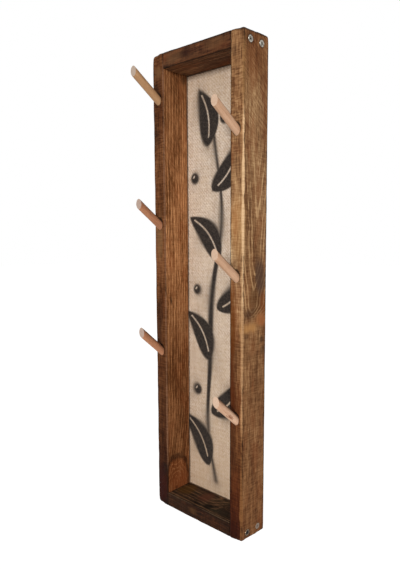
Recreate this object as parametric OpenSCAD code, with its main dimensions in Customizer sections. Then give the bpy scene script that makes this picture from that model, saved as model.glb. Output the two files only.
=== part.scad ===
// Wall mug rack: a tall open box frame of stained softwood boards, six slanting dowel pegs,
// a hessian-faced panel let into the back and two keyhole hangers.
// Millimetres. X runs left to right, -Y faces the room, +Y the wall, and Z is up.
// The origin lies on the wall plane, midway between the round holes of the two hangers.

/* [Frame] */
// Overall width across both uprights
frame_w = 182; // [160:1:300]
// Overall height of the uprights
frame_h = 702; // [690:1:900]
// Depth from the front edges to the wall
frame_d = 50; // [46:1:90]
// Thickness of each upright
upright_t = 24; // [22:0.5:30]
// Thickness of the top and bottom boards
rail_t = 23; // [18:0.5:30]
// Radius worn onto the edges of the boards
arris_r = 1.2; // [0.6:0.1:2]

/* [Pegs] */
// Diameter of the hardwood dowel that the pegs are cut from
peg_d = 12; // [8:0.5:13]
// Slack between a peg and its drilled hole, all round
peg_clearance = 0.15; // [0.05:0.05:0.3]
// Depth of each drilled hole along its own axis
peg_depth = 28; // [18:1:30]
// Distance of the left pegs from the frame's left side
left_peg_inset = 12; // [9:0.5:15]
// Distance of the right pegs from the frame's right side
right_peg_inset = 13; // [9:0.5:15]
// Height of the lowest left peg's hole above the bottom edge
left_low_z = 256.5; // [80:0.5:400]
// Height of the middle left peg's hole above the bottom edge
left_middle_z = 452.5; // [300:0.5:560]
// Height of the highest left peg's hole above the bottom edge
left_high_z = 636.5; // [500:0.5:645]
// Height of the lowest right peg's hole above the bottom edge
right_low_z = 180.5; // [80:0.5:320]
// Height of the middle right peg's hole above the bottom edge
right_middle_z = 381; // [250:0.5:500]
// Height of the highest right peg's hole above the bottom edge
right_high_z = 575; // [450:0.5:645]
// How far the lowest left peg reaches out along its own axis
left_low_reach = 50.5; // [30:0.5:80]
// How far the middle left peg reaches out along its own axis
left_middle_reach = 49; // [30:0.5:80]
// How far the highest left peg reaches out along its own axis
left_high_reach = 54.5; // [30:0.5:80]
// How far the lowest right peg reaches out along its own axis
right_low_reach = 52; // [30:0.5:80]
// How far the middle right peg reaches out along its own axis
right_middle_reach = 52; // [30:0.5:80]
// How far the highest right peg reaches out along its own axis
right_high_reach = 51; // [30:0.5:80]
// Upward slant of the two lowest pegs, in degrees
low_slant = 41; // [20:1:45]
// Upward slant of the two middle pegs, in degrees
middle_slant = 37; // [20:1:45]
// Upward slant of the two highest pegs, in degrees
high_slant = 35; // [20:1:45]

/* [Back panel] */
// Thickness of the board behind the hessian
panel_t = 2.2; // [2:0.1:4]
// Thickness of the glued-down hessian
hessian_t = 0.8; // [0.5:0.1:1.2]
// How far the recess for the panel is cut into each board
rebate_w = 5; // [4:0.1:5.5]
// Gap between the panel's edge and the recess
panel_clearance = 0.3; // [0.1:0.1:0.5]

/* [Panel pins] */
// Shank diameter of the pins that hold the panel
pin_d = 1.2; // [1:0.1:1.4]
// Head diameter of the pins
pin_head_d = 2.4; // [2:0.1:2.8]
// Thickness of the pin heads
pin_head_t = 0.6; // [0.4:0.1:0.8]
// Length of the pins under the head
pin_l = 14; // [8:1:18]
// Distance of the pins from the edge of the opening
pin_inset = 2.2; // [1.8:0.1:2.4]
// Number of pins down each long side
pins_per_side = 5; // [2:1:9]
// Number of pins along the top and along the bottom
pins_per_end = 2; // [2:1:4]
// Slack round a pin in its hole
pin_clearance = 0.05; // [0.02:0.01:0.1]

/* [Corner screws] */
// Thread diameter of the corner screws
screw_d = 4.6; // [4:0.1:5]
// Length of the corner screws
screw_l = 60; // [45:1:62]
// Length of the threaded part, counted from the tip
screw_thread_l = 36; // [20:1:38]
// Head diameter of the corner screws
screw_head_d = 9.2; // [8:0.1:10]
// How deep the screw heads sit below the surface
screw_sink = 0.4; // [0.1:0.1:1]
// Distance of the front screws from the front edge
screw_front_inset = 13; // [8:0.5:18]
// Distance of the rear screws from the wall plane
screw_rear_inset = 14; // [9:0.5:18]
// How far the corner screws sit below the middle of the board that they hold
screw_drop = 1; // [0:0.5:3]

/* [Hangers] */
// Distance of the hangers' round holes below the top edge
hanger_drop = 60; // [50:1:80]
// Distance of the hangers' centre lines from the frame's outer sides
hanger_inset = 9.5; // [8.2:0.1:10.8]
// Width of the hanger plates
hanger_w = 14; // [12:0.5:14]
// Thickness of the hanger plates
hanger_t = 1.5; // [1.4:0.1:2]
// Length of a hanger plate below the centre of its round hole
hanger_below = 13; // [12.5:0.5:16]
// Length of a hanger plate above the centre of its round hole
hanger_above = 23; // [22.5:0.5:28]
// Diameter of the round hole that the wall screw's head enters by
keyhole_d = 9.5; // [9:0.1:9.6]
// Width of the slot that the wall screw's shank slides up
keyhole_slot_w = 4.8; // [4.6:0.1:5]
// Travel of the wall screw from the round hole to the end of the slot
keyhole_travel = 12; // [10:0.5:12]
// Depth of the pocket behind the plate
keyhole_pocket_d = 8; // [6:0.5:10]
// Width of the pocket behind the plate
keyhole_pocket_w = 11; // [10.2:0.1:11]
// Slack round a hanger plate in its recess
hanger_clearance = 0.2; // [0.1:0.05:0.3]

/* [Hanger screws] */
// Thread diameter of the hanger screws
small_screw_d = 3; // [2.5:0.1:3]
// Length of the hanger screws
small_screw_l = 12; // [8:1:16]
// Head diameter of the hanger screws
small_screw_head_d = 5.6; // [5:0.1:5.6]
// Distance of the lower hanger screw below the round hole
small_screw_below = 9.5; // [9.3:0.1:9.7]
// Distance of the upper hanger screw above the round hole
small_screw_above = 19; // [18.7:0.1:19.3]

/* [Screw details] */
// Share of the thread diameter left at the root of the thread
root_share = 0.66; // [0.5:0.02:0.8]
// Distance between threads, as a share of the thread diameter
pitch_share = 0.5; // [0.4:0.05:0.8]
// Length of the tip, as a share of the thread diameter
tip_share = 1; // [0.8:0.1:1.4]
// Reach of each arm of the cross recess, as a share of the head diameter
recess_share = 0.27; // [0.2:0.01:0.3]
// Width of each arm of the cross recess, as a share of the head diameter
recess_w_share = 0.14; // [0.1:0.01:0.18]
// Depth of the cross recess, as a share of the head diameter
recess_d_share = 0.2; // [0.12:0.01:0.22]
// Slack between a screw and the hole that it passes through
screw_clearance = 0.1; // [0.05:0.05:0.2]

/* [Hidden] */

round_fn = 48;
// How far a cutting shape runs past the face that it opens
past = 1;

left_x = -frame_w / 2;
right_x = frame_w / 2;
front_y = -frame_d;
top_z = hanger_drop;
bottom_z = top_z - frame_h;
opening_w = frame_w - 2 * upright_t;
opening_h = frame_h - 2 * rail_t;
middle_z = (top_z + bottom_z) / 2;
rebate_d = panel_t + hessian_t;
recess_w = opening_w + 2 * rebate_w;
recess_h = opening_h + 2 * rebate_w;
panel_w = recess_w - 2 * panel_clearance;
panel_h = recess_h - 2 * panel_clearance;
hanger_x = frame_w / 2 - hanger_inset;
screw_y = [front_y + screw_front_inset, -screw_rear_inset];
// The pegs of each side, lowest first
left_peg_z = [left_low_z, left_middle_z, left_high_z];
right_peg_z = [right_low_z, right_middle_z, right_high_z];
left_peg_reach = [left_low_reach, left_middle_reach, left_high_reach];
right_peg_reach = [right_low_reach, right_middle_reach, right_high_reach];
row_slant = [low_slant, middle_slant, high_slant];

upright_colour = "#7A4F30";
rail_colour = "#3F281C";
dowel_colour = "#BE9068";
hessian_colour = "#BFA78F";
panel_colour = "#9A7650";
zinc_colour = "#B9BABC";

// A rectangle with true round corners, about its own centre
module rounded_rect(w, h, r) {
    square([w - 2 * r, h], center = true);
    square([w, h - 2 * r], center = true);
    for (sx = [-1, 1], sy = [-1, 1])
        translate([sx * (w / 2 - r), sy * (h / 2 - r)])
            circle(r = r, $fn = round_fn);
}

// A plate shape with two round ends, upright, from z_low to z_high
module stadium(w, z_low, z_high) {
    translate([-w / 2, z_low + w / 2])
        square([w, z_high - z_low - w]);
    for (z = [z_low + w / 2, z_high - w / 2])
        translate([0, z])
            circle(d = w, $fn = round_fn);
}

// Turns a flat outline in X and Z into a solid from the wall plane forwards
module from_wall(depth) {
    rotate([90, 0, 0])
        linear_extrude(depth)
            children();
}

// The sunk bed for the panel, cut through all four boards after they are joined
module panel_recess() {
    translate([-recess_w / 2, -rebate_d, middle_z - recess_h / 2])
        cube([recess_w, rebate_d + past, recess_h]);
}

// Moves a child so that its Z axis leaves the front face along a peg
module at_peg(x, height, slant) {
    translate([x, front_y, bottom_z + height])
        rotate([90 - slant, 0, 0])
            children();
}

// One peg: a plain dowel whose free end is sawn upright, parallel to the wall
module dowel_peg(x, height, slant, reach) {
    end_y = front_y - reach * cos(slant);
    color(dowel_colour)
        difference() {
            at_peg(x, height, slant)
                translate([0, 0, -peg_depth])
                    cylinder(d = peg_d, h = peg_depth + reach + peg_d, $fn = round_fn);
            translate([x - peg_d, end_y - 3 * peg_d, bottom_z + height])
                cube([2 * peg_d, 3 * peg_d, reach + 2 * peg_d]);
        }
}

// The blind hole that a peg is glued into
module peg_hole(x, height, slant) {
    at_peg(x, height, slant)
        translate([0, 0, -peg_depth])
            cylinder(d = peg_d + 2 * peg_clearance, h = peg_depth + peg_d, $fn = round_fn);
}

// Where the shank of a countersunk screw meets its head, below the head's top
function head_depth(d, head_d) = (head_d - d) / 2;

// A countersunk wood screw with its head's top at the origin and its tip towards -Z
module wood_screw(d, head_d, length, thread_l) {
    root_r = root_share * d / 2;
    shank_r = (d / 2 + root_r) / 2;
    pitch = pitch_share * d;
    tip = tip_share * d;
    turns = floor((thread_l - tip) / pitch);
    thread_top = -length + tip + turns * pitch;
    cone = head_depth(2 * shank_r, head_d);
    crests = [for (i = [0:turns - 1]) each [
        [root_r, -length + tip + i * pitch],
        [d / 2, -length + tip + (i + 0.5) * pitch]
    ]];
    outline = concat(
        [[0, -length]],
        crests,
        [[root_r, thread_top], [shank_r, thread_top], [shank_r, -cone], [head_d / 2, 0], [0, 0]]
    );
    arm = recess_share * head_d;
    slot_w = recess_w_share * head_d;
    slot_d = recess_d_share * head_d;
    color(zinc_colour)
        difference() {
            rotate_extrude($fn = round_fn)
                polygon(outline);
            for (a = [0, 90])
                rotate([0, 0, a])
                    translate([-arm, -slot_w / 2, -slot_d])
                        cube([2 * arm, slot_w, slot_d + past]);
        }
}

// The hole for such a screw, with its countersink, opening towards +Z
module screw_hole(d, head_d, length) {
    hole_r = d / 2 + screw_clearance;
    cone_r = head_d / 2 + screw_clearance;
    translate([0, 0, -length])
        cylinder(r = hole_r, h = length, $fn = round_fn);
    translate([0, 0, hole_r - cone_r])
        cylinder(r1 = hole_r, r2 = cone_r, h = cone_r - hole_r, $fn = round_fn);
    cylinder(r = cone_r, h = past + screw_sink, $fn = round_fn);
}

// Places a child at both corner screws on one side and end, heads outwards
module at_corner_screws(side, end) {
    z = end > 0 ? top_z - rail_t / 2 : bottom_z + rail_t / 2;
    for (y = screw_y)
        translate([side * (frame_w / 2 - screw_sink), y, z - screw_drop])
            rotate([0, side * 90, 0])
                children();
}

module corner_screws(side, end) {
    at_corner_screws(side, end)
        wood_screw(screw_d, screw_head_d, screw_l, screw_thread_l);
}

module corner_screw_holes() {
    for (side = [-1, 1], end = [-1, 1])
        at_corner_screws(side, end)
            screw_hole(screw_d, screw_head_d, screw_l);
}

// Places a child at each panel pin, with +Z towards the wall
module at_pins() {
    side_x = opening_w / 2 + pin_inset;
    end_z = opening_h / 2 + pin_inset;
    for (side = [-1, 1], i = [0:pins_per_side - 1])
        translate([side * side_x, 0, middle_z + opening_h * ((i + 0.5) / pins_per_side - 0.5)])
            rotate([-90, 0, 0])
                children();
    for (end = [-1, 1], i = [0:pins_per_end - 1])
        translate([opening_w * ((i + 0.5) / pins_per_end - 0.5), 0, middle_z + end * end_z])
            rotate([-90, 0, 0])
                children();
}

module pin_holes() {
    at_pins() {
        translate([0, 0, -pin_head_t - pin_l])
            cylinder(r = pin_d / 2 + pin_clearance, h = pin_l + pin_head_t, $fn = 16);
        translate([0, 0, -pin_head_t])
            cylinder(r = pin_head_d / 2 + pin_clearance, h = pin_head_t + past, $fn = 16);
    }
}

module at_hanger(side) {
    translate([side * hanger_x, 0, 0])
        children();
}

// Places a child at the two screws of one hanger, heads towards the wall
module at_hanger_screws(side) {
    for (z = [-small_screw_below, small_screw_above])
        translate([side * hanger_x, 0, z])
            rotate([-90, 0, 0])
                children();
}

// Everything that one hanger needs cut out of its upright
module hanger_recess(side) {
    at_hanger(side) {
        translate([0, past, 0])
            from_wall(hanger_t + past)
                stadium(hanger_w + 2 * hanger_clearance, -hanger_below - hanger_clearance,
                    hanger_above + hanger_clearance);
        from_wall(hanger_t + keyhole_pocket_d)
            stadium(keyhole_pocket_w, -keyhole_pocket_w / 2, keyhole_travel + keyhole_pocket_w / 2);
    }
    at_hanger_screws(side)
        translate([0, 0, -small_screw_l])
            cylinder(r = small_screw_d / 2 + screw_clearance, h = small_screw_l, $fn = round_fn);
}

// A full-height side board, its edges worn round
module upright(side) {
    x = side * (frame_w - upright_t) / 2;
    inset = side > 0 ? right_peg_inset : left_peg_inset;
    heights = side > 0 ? right_peg_z : left_peg_z;
    color(upright_colour)
        difference() {
            translate([x, front_y / 2, middle_z])
                intersection() {
                    linear_extrude(frame_h, center = true)
                        rounded_rect(upright_t, frame_d, arris_r);
                    rotate([90, 0, 0])
                        linear_extrude(frame_d, center = true)
                            rounded_rect(upright_t, frame_h, arris_r);
                    rotate([90, 0, 90])
                        linear_extrude(upright_t, center = true)
                            rounded_rect(frame_d, frame_h, arris_r);
                }
            for (row = [0:2])
                peg_hole(side * (frame_w / 2 - inset), heights[row], row_slant[row]);
            panel_recess();
            corner_screw_holes();
            pin_holes();
            hanger_recess(side);
        }
}

// A short board that fits between the uprights
module rail(end) {
    z = end > 0 ? top_z - rail_t / 2 : bottom_z + rail_t / 2;
    color(rail_colour)
        difference() {
            translate([0, front_y / 2, z])
                rotate([90, 0, 90])
                    linear_extrude(opening_w, center = true)
                        rounded_rect(frame_d, rail_t, arris_r);
            panel_recess();
            corner_screw_holes();
            pin_holes();
        }
}

module left_upright() upright(-1);
module right_upright() upright(1);
module top_board() rail(1);
module bottom_board() rail(-1);

// The thin board that fills the sunk bed, flush with the wall side
module back_panel() {
    color(panel_colour)
        difference() {
            translate([-panel_w / 2, -panel_t, middle_z - panel_h / 2])
                cube([panel_w, panel_t, panel_h]);
            pin_holes();
        }
}

// The coarse cloth glued over the panel's front, clamped round its edge by the frame
module hessian_facing() {
    color(hessian_colour)
        difference() {
            translate([-panel_w / 2, -rebate_d, middle_z - panel_h / 2])
                cube([panel_w, hessian_t, panel_h]);
            pin_holes();
        }
}

module panel_pins() {
    color(zinc_colour)
        at_pins() {
            translate([0, 0, -pin_head_t])
                cylinder(d = pin_head_d, h = pin_head_t, $fn = 16);
            translate([0, 0, -pin_head_t - pin_l])
                cylinder(d = pin_d, h = pin_l, $fn = 16);
        }
}

module left_peg(row) {
    dowel_peg(left_x + left_peg_inset, left_peg_z[row], row_slant[row], left_peg_reach[row]);
}

module right_peg(row) {
    dowel_peg(right_x - right_peg_inset, right_peg_z[row], row_slant[row], right_peg_reach[row]);
}

module peg_left_bottom() left_peg(0);
module peg_left_middle() left_peg(1);
module peg_left_top() left_peg(2);
module peg_right_bottom() right_peg(0);
module peg_right_middle() right_peg(1);
module peg_right_top() right_peg(2);

module screws_top_left() corner_screws(-1, 1);
module screws_top_right() corner_screws(1, 1);
module screws_bottom_left() corner_screws(-1, -1);
module screws_bottom_right() corner_screws(1, -1);

// A flat steel plate with a keyhole, let in flush with the wall side of its upright
module hanger(side) {
    color(zinc_colour)
        difference() {
            at_hanger(side)
                from_wall(hanger_t)
                    stadium(hanger_w, -hanger_below, hanger_above);
            at_hanger(side)
                translate([0, past, 0])
                    from_wall(hanger_t + 2 * past) {
                        circle(d = keyhole_d, $fn = round_fn);
                        translate([-keyhole_slot_w / 2, 0])
                            square([keyhole_slot_w, keyhole_travel]);
                        translate([0, keyhole_travel])
                            circle(d = keyhole_slot_w, $fn = round_fn);
                    }
            at_hanger_screws(side)
                screw_hole(small_screw_d, small_screw_head_d, small_screw_l);
        }
}

module hanger_left() hanger(-1);
module hanger_right() hanger(1);

module hanger_screws(side) {
    at_hanger_screws(side)
        wood_screw(small_screw_d, small_screw_head_d, small_screw_l, small_screw_l - hanger_t);
}

module hanger_screws_left() hanger_screws(-1);
module hanger_screws_right() hanger_screws(1);

left_upright();
right_upright();
top_board();
bottom_board();
back_panel();
hessian_facing();
panel_pins();
peg_left_bottom();
peg_left_middle();
peg_left_top();
peg_right_bottom();
peg_right_middle();
peg_right_top();
screws_top_left();
screws_top_right();
screws_bottom_left();
screws_bottom_right();
hanger_left();
hanger_right();
hanger_screws_left();
hanger_screws_right();
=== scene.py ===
"""Wall mug rack: the looks of the rack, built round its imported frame.

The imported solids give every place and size. This script replaces the boards, pegs, cloth and
fasteners by pieces with the detail of the real ones, and gives each piece its finish.
Lengths in the classes are millimetres in the row frame; meshes are written in metres.
"""

import sys  # noqa: E702

import logging
import math
from collections.abc import Callable, Iterable, Sequence
from dataclasses import dataclass
from enum import Enum
from typing import NamedTuple

import bmesh
import bpy
import numpy as np
from mathutils import Matrix, Vector


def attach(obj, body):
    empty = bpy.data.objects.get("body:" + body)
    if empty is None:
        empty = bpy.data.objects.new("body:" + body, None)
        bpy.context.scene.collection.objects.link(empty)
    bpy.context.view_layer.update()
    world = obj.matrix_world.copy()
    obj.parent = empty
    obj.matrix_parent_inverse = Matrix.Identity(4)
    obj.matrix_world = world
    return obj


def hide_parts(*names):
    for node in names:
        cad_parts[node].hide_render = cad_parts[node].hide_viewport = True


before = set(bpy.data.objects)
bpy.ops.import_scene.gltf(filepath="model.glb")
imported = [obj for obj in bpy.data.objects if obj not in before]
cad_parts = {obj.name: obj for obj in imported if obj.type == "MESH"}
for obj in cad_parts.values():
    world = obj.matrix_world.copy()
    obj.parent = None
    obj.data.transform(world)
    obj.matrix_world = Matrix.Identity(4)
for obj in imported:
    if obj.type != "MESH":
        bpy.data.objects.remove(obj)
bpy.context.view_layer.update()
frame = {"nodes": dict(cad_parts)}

LOG = logging.getLogger("mug_rack")
MM = 0.001
BODY = "root"
# Blender's names of the nodes used most
MATH = "ShaderNodeMath"
VECTOR = "ShaderNodeVectorMath"
NOISE = "ShaderNodeTexNoise"
MIX = "ShaderNodeMix"
SPLIT = "ShaderNodeSeparateXYZ"

Point = tuple[float, float, float]
Stops = tuple[tuple[float, float], ...]
Tree = bpy.types.NodeTree
Node = bpy.types.Node
Mesh = bpy.types.Mesh
Piece = bpy.types.Object


class Eased(NamedTuple):
    """A value eased from one range to another, smoothly and clamped; connect makes its node."""

    value: "Wire"
    low: float
    high: float
    to_low: float = 0.0
    to_high: float = 1.0


Wire = Node | bpy.types.NodeSocket | Eased | float | tuple | str


# Small tools that every piece uses


def linear(colour: str) -> tuple[float, float, float, float]:
    """Turns an sRGB hex colour into the linear colour that shaders take.

    Args:
        colour: Six hex digits after a hash sign.

    Returns:
        Red, green, blue and an alpha of one, all linear.
    """
    parts = [int(colour[i:i + 2], 16) / 255 for i in (1, 3, 5)]
    flat = [c / 12.92 if c <= 0.04045 else ((c + 0.055) / 1.055) ** 2.4 for c in parts]
    return (flat[0], flat[1], flat[2], 1.0)


def connect(tree: Tree, node: Node, wires: dict[int | str, Wire]) -> None:
    """Feeds a node's inputs.

    Args:
        tree: The tree that holds the node.
        node: The node whose inputs are fed.
        wires: Input number or name, and what feeds it: a node, a socket, an eased value, a
            constant or a hex colour.
    """
    for key, value in wires.items():
        if isinstance(value, Eased):
            value = add(tree, "ShaderNodeMapRange", {
                "Value": value.value, "From Min": value.low, "From Max": value.high,
                "To Min": value.to_low, "To Max": value.to_high}, interpolation_type="SMOOTHSTEP")
        if isinstance(key, int):
            socket = node.inputs[key]
        else:
            socket = next(s for s in node.inputs if s.enabled and s.name == key)
        if isinstance(value, Node):
            value = next(s for s in value.outputs if s.enabled)
        if isinstance(value, bpy.types.NodeSocket):
            tree.links.new(value, socket)
        else:
            socket.default_value = linear(value) if isinstance(value, str) else value


def add(tree: Tree, kind: str, wires: dict[int | str, Wire] | None = None,
        **settings: object) -> Node:
    """Adds one node with its settings and links.

    Args:
        tree: The tree that the node goes into.
        kind: Blender's name for the node.
        wires: What feeds each input, as in connect.
        settings: Properties of the node.

    Returns:
        The new node.
    """
    node = tree.nodes.new(kind)
    for name, value in settings.items():
        setattr(node, name, value)
    connect(tree, node, wires or {})
    return node


def new_piece(name: str, mesh: Mesh) -> Piece:
    """Puts a mesh into the scene as an object at the origin.

    Args:
        name: The piece's name.
        mesh: Its mesh, in metres in the row frame.

    Returns:
        The new object.
    """
    mesh.name = name
    piece = bpy.data.objects.new(name, mesh)
    bpy.context.scene.collection.objects.link(piece)
    return piece


def mesh_of(name: str, points: Sequence, faces: Sequence) -> Mesh:
    """Makes a mesh from points in millimetres.

    Args:
        name: The mesh's name.
        points: Points in millimetres.
        faces: Point numbers of each face, seen from outside anticlockwise.

    Returns:
        The mesh, in metres.
    """
    mesh = bpy.data.meshes.new(name)
    mesh.from_pydata([tuple(c * MM for c in p) for p in points], [], [tuple(f) for f in faces])
    mesh.update()
    return mesh


def frozen(thing: Piece, name: str) -> Piece:
    """Turns an object with modifiers into a plain piece and drops the original.

    Args:
        thing: The object whose modifiers are to be worked out.
        name: The new piece's name.

    Returns:
        A piece with a plain mesh and no modifier.
    """
    bpy.context.view_layer.update()
    graph = bpy.context.evaluated_depsgraph_get()
    mesh = bpy.data.meshes.new_from_object(thing.evaluated_get(graph))
    bpy.data.objects.remove(thing)
    return new_piece(name, mesh)


def lathe(name: str, outline: Sequence[tuple[float, float]], around: int = 32) -> Mesh:
    """Spins an outline round the Z axis into a closed solid.

    Args:
        name: The mesh's name.
        outline: Radius and height of each corner, from the bottom of the axis to its top.
        around: Number of steps in a full turn.

    Returns:
        The mesh, in metres.
    """
    rings = [(r, z) for r, z in outline if r > 1e-6]
    angles = [2 * math.pi * i / around for i in range(around)]
    points = [(r * math.cos(a), r * math.sin(a), z) for r, z in rings for a in angles]
    faces = []
    for k in range(len(rings) - 1):
        for i in range(around):
            j = (i + 1) % around
            faces.append((k * around + i, k * around + j, (k + 1) * around + j, (k + 1) * around + i))
    last = (len(rings) - 1) * around
    points += [(0, 0, outline[0][1]), (0, 0, outline[-1][1])]
    low, high = len(points) - 2, len(points) - 1
    for i in range(around):
        j = (i + 1) % around
        faces.append((low, j, i))
        faces.append((high, last + i, last + j))
    return mesh_of(name, points, faces)


def prism(name: str, outline: Sequence[tuple[float, float]], y_low: float,
          y_high: float) -> Mesh:
    """Stands an outline in X and Z between two depths.

    Args:
        name: The mesh's name.
        outline: X and Z of each corner, anticlockwise as seen from the front.
        y_low: Depth of the front face.
        y_high: Depth of the back face.

    Returns:
        The mesh, in metres.
    """
    n = len(outline)
    points = [(x, y_low, z) for x, z in outline] + [(x, y_high, z) for x, z in outline]
    faces = [tuple(range(n)), tuple(range(2 * n - 1, n - 1, -1))]
    faces += [(i, i + n, (i + 1) % n + n, (i + 1) % n) for i in range(n)]
    return mesh_of(name, points, faces)


def stadium(middle: float, width: float, low: float, high: float,
            steps: int = 20) -> list[tuple[float, float]]:
    """Outlines an upright plate with two round ends.

    Args:
        middle: X of its centre line.
        width: Its width.
        low: Z of its lower end.
        high: Z of its upper end.
        steps: Number of steps in each round end.

    Returns:
        X and Z of each corner, anticlockwise as seen from the front.
    """
    r = width / 2
    ends = [(low + r, math.pi), (high - r, 0.0)]
    return [
        (middle + r * math.cos(start + math.pi * i / steps), z + r * math.sin(start + math.pi * i / steps))
        for z, start in ends for i in range(steps + 1)
    ]


def carve(target: Piece, cutters: Iterable[Mesh], name: str) -> Piece:
    """Cuts shapes out of a piece.

    Args:
        target: The piece to cut, which is used up.
        cutters: Closed meshes, which are used up as well.
        name: The name of the cut piece.

    Returns:
        The cut piece, with a plain mesh.
    """
    tools = []
    for number, mesh in enumerate(cutters):
        tool = new_piece(f"cutter_{number}", mesh)
        cut = target.modifiers.new(f"cut_{number}", "BOOLEAN")
        cut.operation = "DIFFERENCE"
        cut.solver = "MANIFOLD"
        cut.object = tool
        tools.append(tool)
    made = frozen(target, name)
    for tool in tools:
        bpy.data.meshes.remove(tool.data)
    return made


def shade(piece: Piece, sharp_from: float = 35.0) -> None:
    """Smooths a piece's shading, but not over edges sharper than an angle in degrees."""
    piece.data.shade_smooth()
    piece.data.set_sharp_from_angle(angle=math.radians(sharp_from))


def hand_over(piece: Piece, slot: str, *nodes: str) -> Piece:
    """Hangs a finished piece on the rack's body empty, hides the solids that it stands for, and reports it.

    Args:
        piece: The finished piece.
        slot: Not used.
        nodes: The solids that it stands for.

    Returns:
        The same piece.
    """
    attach(piece, BODY)
    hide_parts(*nodes)
    LOG.info("%s: %d faces, stands for %s", piece.name, len(piece.data.polygons), ", ".join(nodes))
    return piece


# Patterns that the finishes and the boards' shapes share


def grain(tree: Tree, place: Wire, size_mm: Point, salt: float, detail: float = 2.0,
          roughness: float = 0.5) -> dict[str, Wire]:
    """Works out what feeds a noise so that its features have a real size.

    Args:
        tree: The tree to add to.
        place: The place in millimetres.
        size_mm: Size of the features along X, Y and Z.
        salt: Shifts the pattern, so that two uses differ.
        detail: How many finer layers it has.
        roughness: How strong the finer layers are.

    Returns:
        The noise's wires.
    """
    scaled = add(tree, VECTOR, {
        0: place, 1: tuple(1 / size for size in size_mm), 2: (salt, 1.7 * salt, 2.3 * salt)},
        operation="MULTIPLY_ADD")
    return {"Vector": scaled, "Scale": 1.0, "Detail": detail, "Roughness": roughness}


def weighted(tree: Tree, parts: Sequence[tuple[Wire, float]]) -> Wire:
    """Adds up values, each times its own weight.

    Args:
        tree: The tree to add to.
        parts: Value and weight of each part.

    Returns:
        The node with the sum.
    """
    total: Wire = 0.0
    for value, weight in parts:
        total = add(tree, MATH, {0: value, 1: weight, 2: total}, operation="MULTIPLY_ADD")
    return total


def stepped(tree: Tree, value: Wire, stops: Stops) -> Wire:
    """Eases from stop to stop as a value grows.

    Args:
        tree: The tree to add to.
        value: What is measured against the stops.
        stops: Value and result of each stop, from the lowest up.

    Returns:
        The node with the result, or the only stop's constant.
    """
    total: Wire = stops[0][1]
    for (low, before), (high, after) in zip(stops, stops[1:]):
        total = add(tree, MATH, {0: total, 1: Eased(value, low, high, 0, after - before)},
                    operation="ADD")
    return total


def layered(tree: Tree, colour: Wire, coats: Iterable[tuple[Wire, Wire]]) -> Wire:
    """Lays coats of colour over one another.

    Args:
        tree: The tree to add to.
        colour: The colour underneath.
        coats: How far each coat covers, from 0 to 1, and its colour, from the lowest up.

    Returns:
        The node with the colour on top.
    """
    for cover, coat in coats:
        colour = add(tree, MIX, {"Factor": cover, "A": colour, "B": coat}, data_type="RGBA")
    return colour


def distance(tree: Tree, place: Wire, at: Point, rates: Point) -> Node:
    """Measures how far each place is from a point, or from a line where one rate is 0.

    Args:
        tree: The tree to add to.
        place: The place in millimetres.
        at: The point.
        rates: How much a millimetre along X, Y and Z counts.

    Returns:
        The node with the distance.
    """
    away = add(tree, VECTOR, {0: place, 1: at}, operation="SUBTRACT")
    counted = add(tree, VECTOR, {0: away, 1: rates}, operation="MULTIPLY")
    return add(tree, VECTOR, {0: counted}, operation="LENGTH")


def surface_mm(tree: Tree) -> Node:
    """Adds the nodes that give a surface's own place in the row frame, in millimetres."""
    at = add(tree, "ShaderNodeTexCoord").outputs["Object"]
    return add(tree, VECTOR, {0: at, "Scale": 1000.0}, operation="SCALE")


def seen_plainly(tree: Tree) -> Node:
    """Tells the rays that show a surface as it is from those that only carry light.

    Args:
        tree: The tree to add to.

    Returns:
        The node that gives 1 for the camera, a gloss or glass and 0 for light.
    """
    path = add(tree, "ShaderNodeLightPath").outputs
    shown = add(tree, MATH, {0: path["Is Camera Ray"], 1: path["Is Glossy Ray"]}, operation="MAXIMUM")
    return add(tree, MATH, {0: shown, 1: path["Is Transmission Ray"]}, operation="MAXIMUM")


# Finishes


@dataclass(frozen=True)
class Finish:
    """What every finish shares: it makes its material once and gives the same one again."""

    name: str

    def material(self) -> bpy.types.Material:
        """Makes the material on first use.

        Returns:
            The material with this finish's name.
        """
        found = bpy.data.materials.get(self.name)
        if found:
            return found
        made = bpy.data.materials.new(self.name)
        made.use_nodes = True
        tree = made.node_tree
        tree.nodes.clear()
        shader = add(tree, "ShaderNodeBsdfPrincipled")
        add(tree, "ShaderNodeOutputMaterial", {"Surface": shader})
        self.paint(tree, shader)
        return made

    def paint(self, tree: Tree, shader: Node) -> None:
        """Adds the nodes that feed the shader; each finish has its own."""
        raise NotImplementedError

    def dress(self, piece: Piece) -> None:
        """Gives a piece this finish alone."""
        piece.data.materials.clear()
        piece.data.materials.append(self.material())

    def dress_solid(self, node: str) -> None:
        """Gives a solid of the frame this finish in each of its slots.

        Args:
            node: The solid's name.
        """
        solid = frame["nodes"][node]
        if not solid.material_slots:
            solid.data.materials.append(self.material())
        for place in solid.material_slots:
            place.material = self.material()


class Run(Enum):
    """The way that a board's fibres run."""

    UP = "z"
    ACROSS = "x"


@dataclass(frozen=True)
class Knot:
    """A knot that shows on a board: its centre in board millimetres, its radius and its darkness."""

    at: Point
    radius: float
    dark: float


class Grown(NamedTuple):
    """What the wood's growth gives at a place: the place itself, late wood, knots and their bark."""

    place: Node
    late: Wire
    knots: Wire
    bark: Wire


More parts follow.
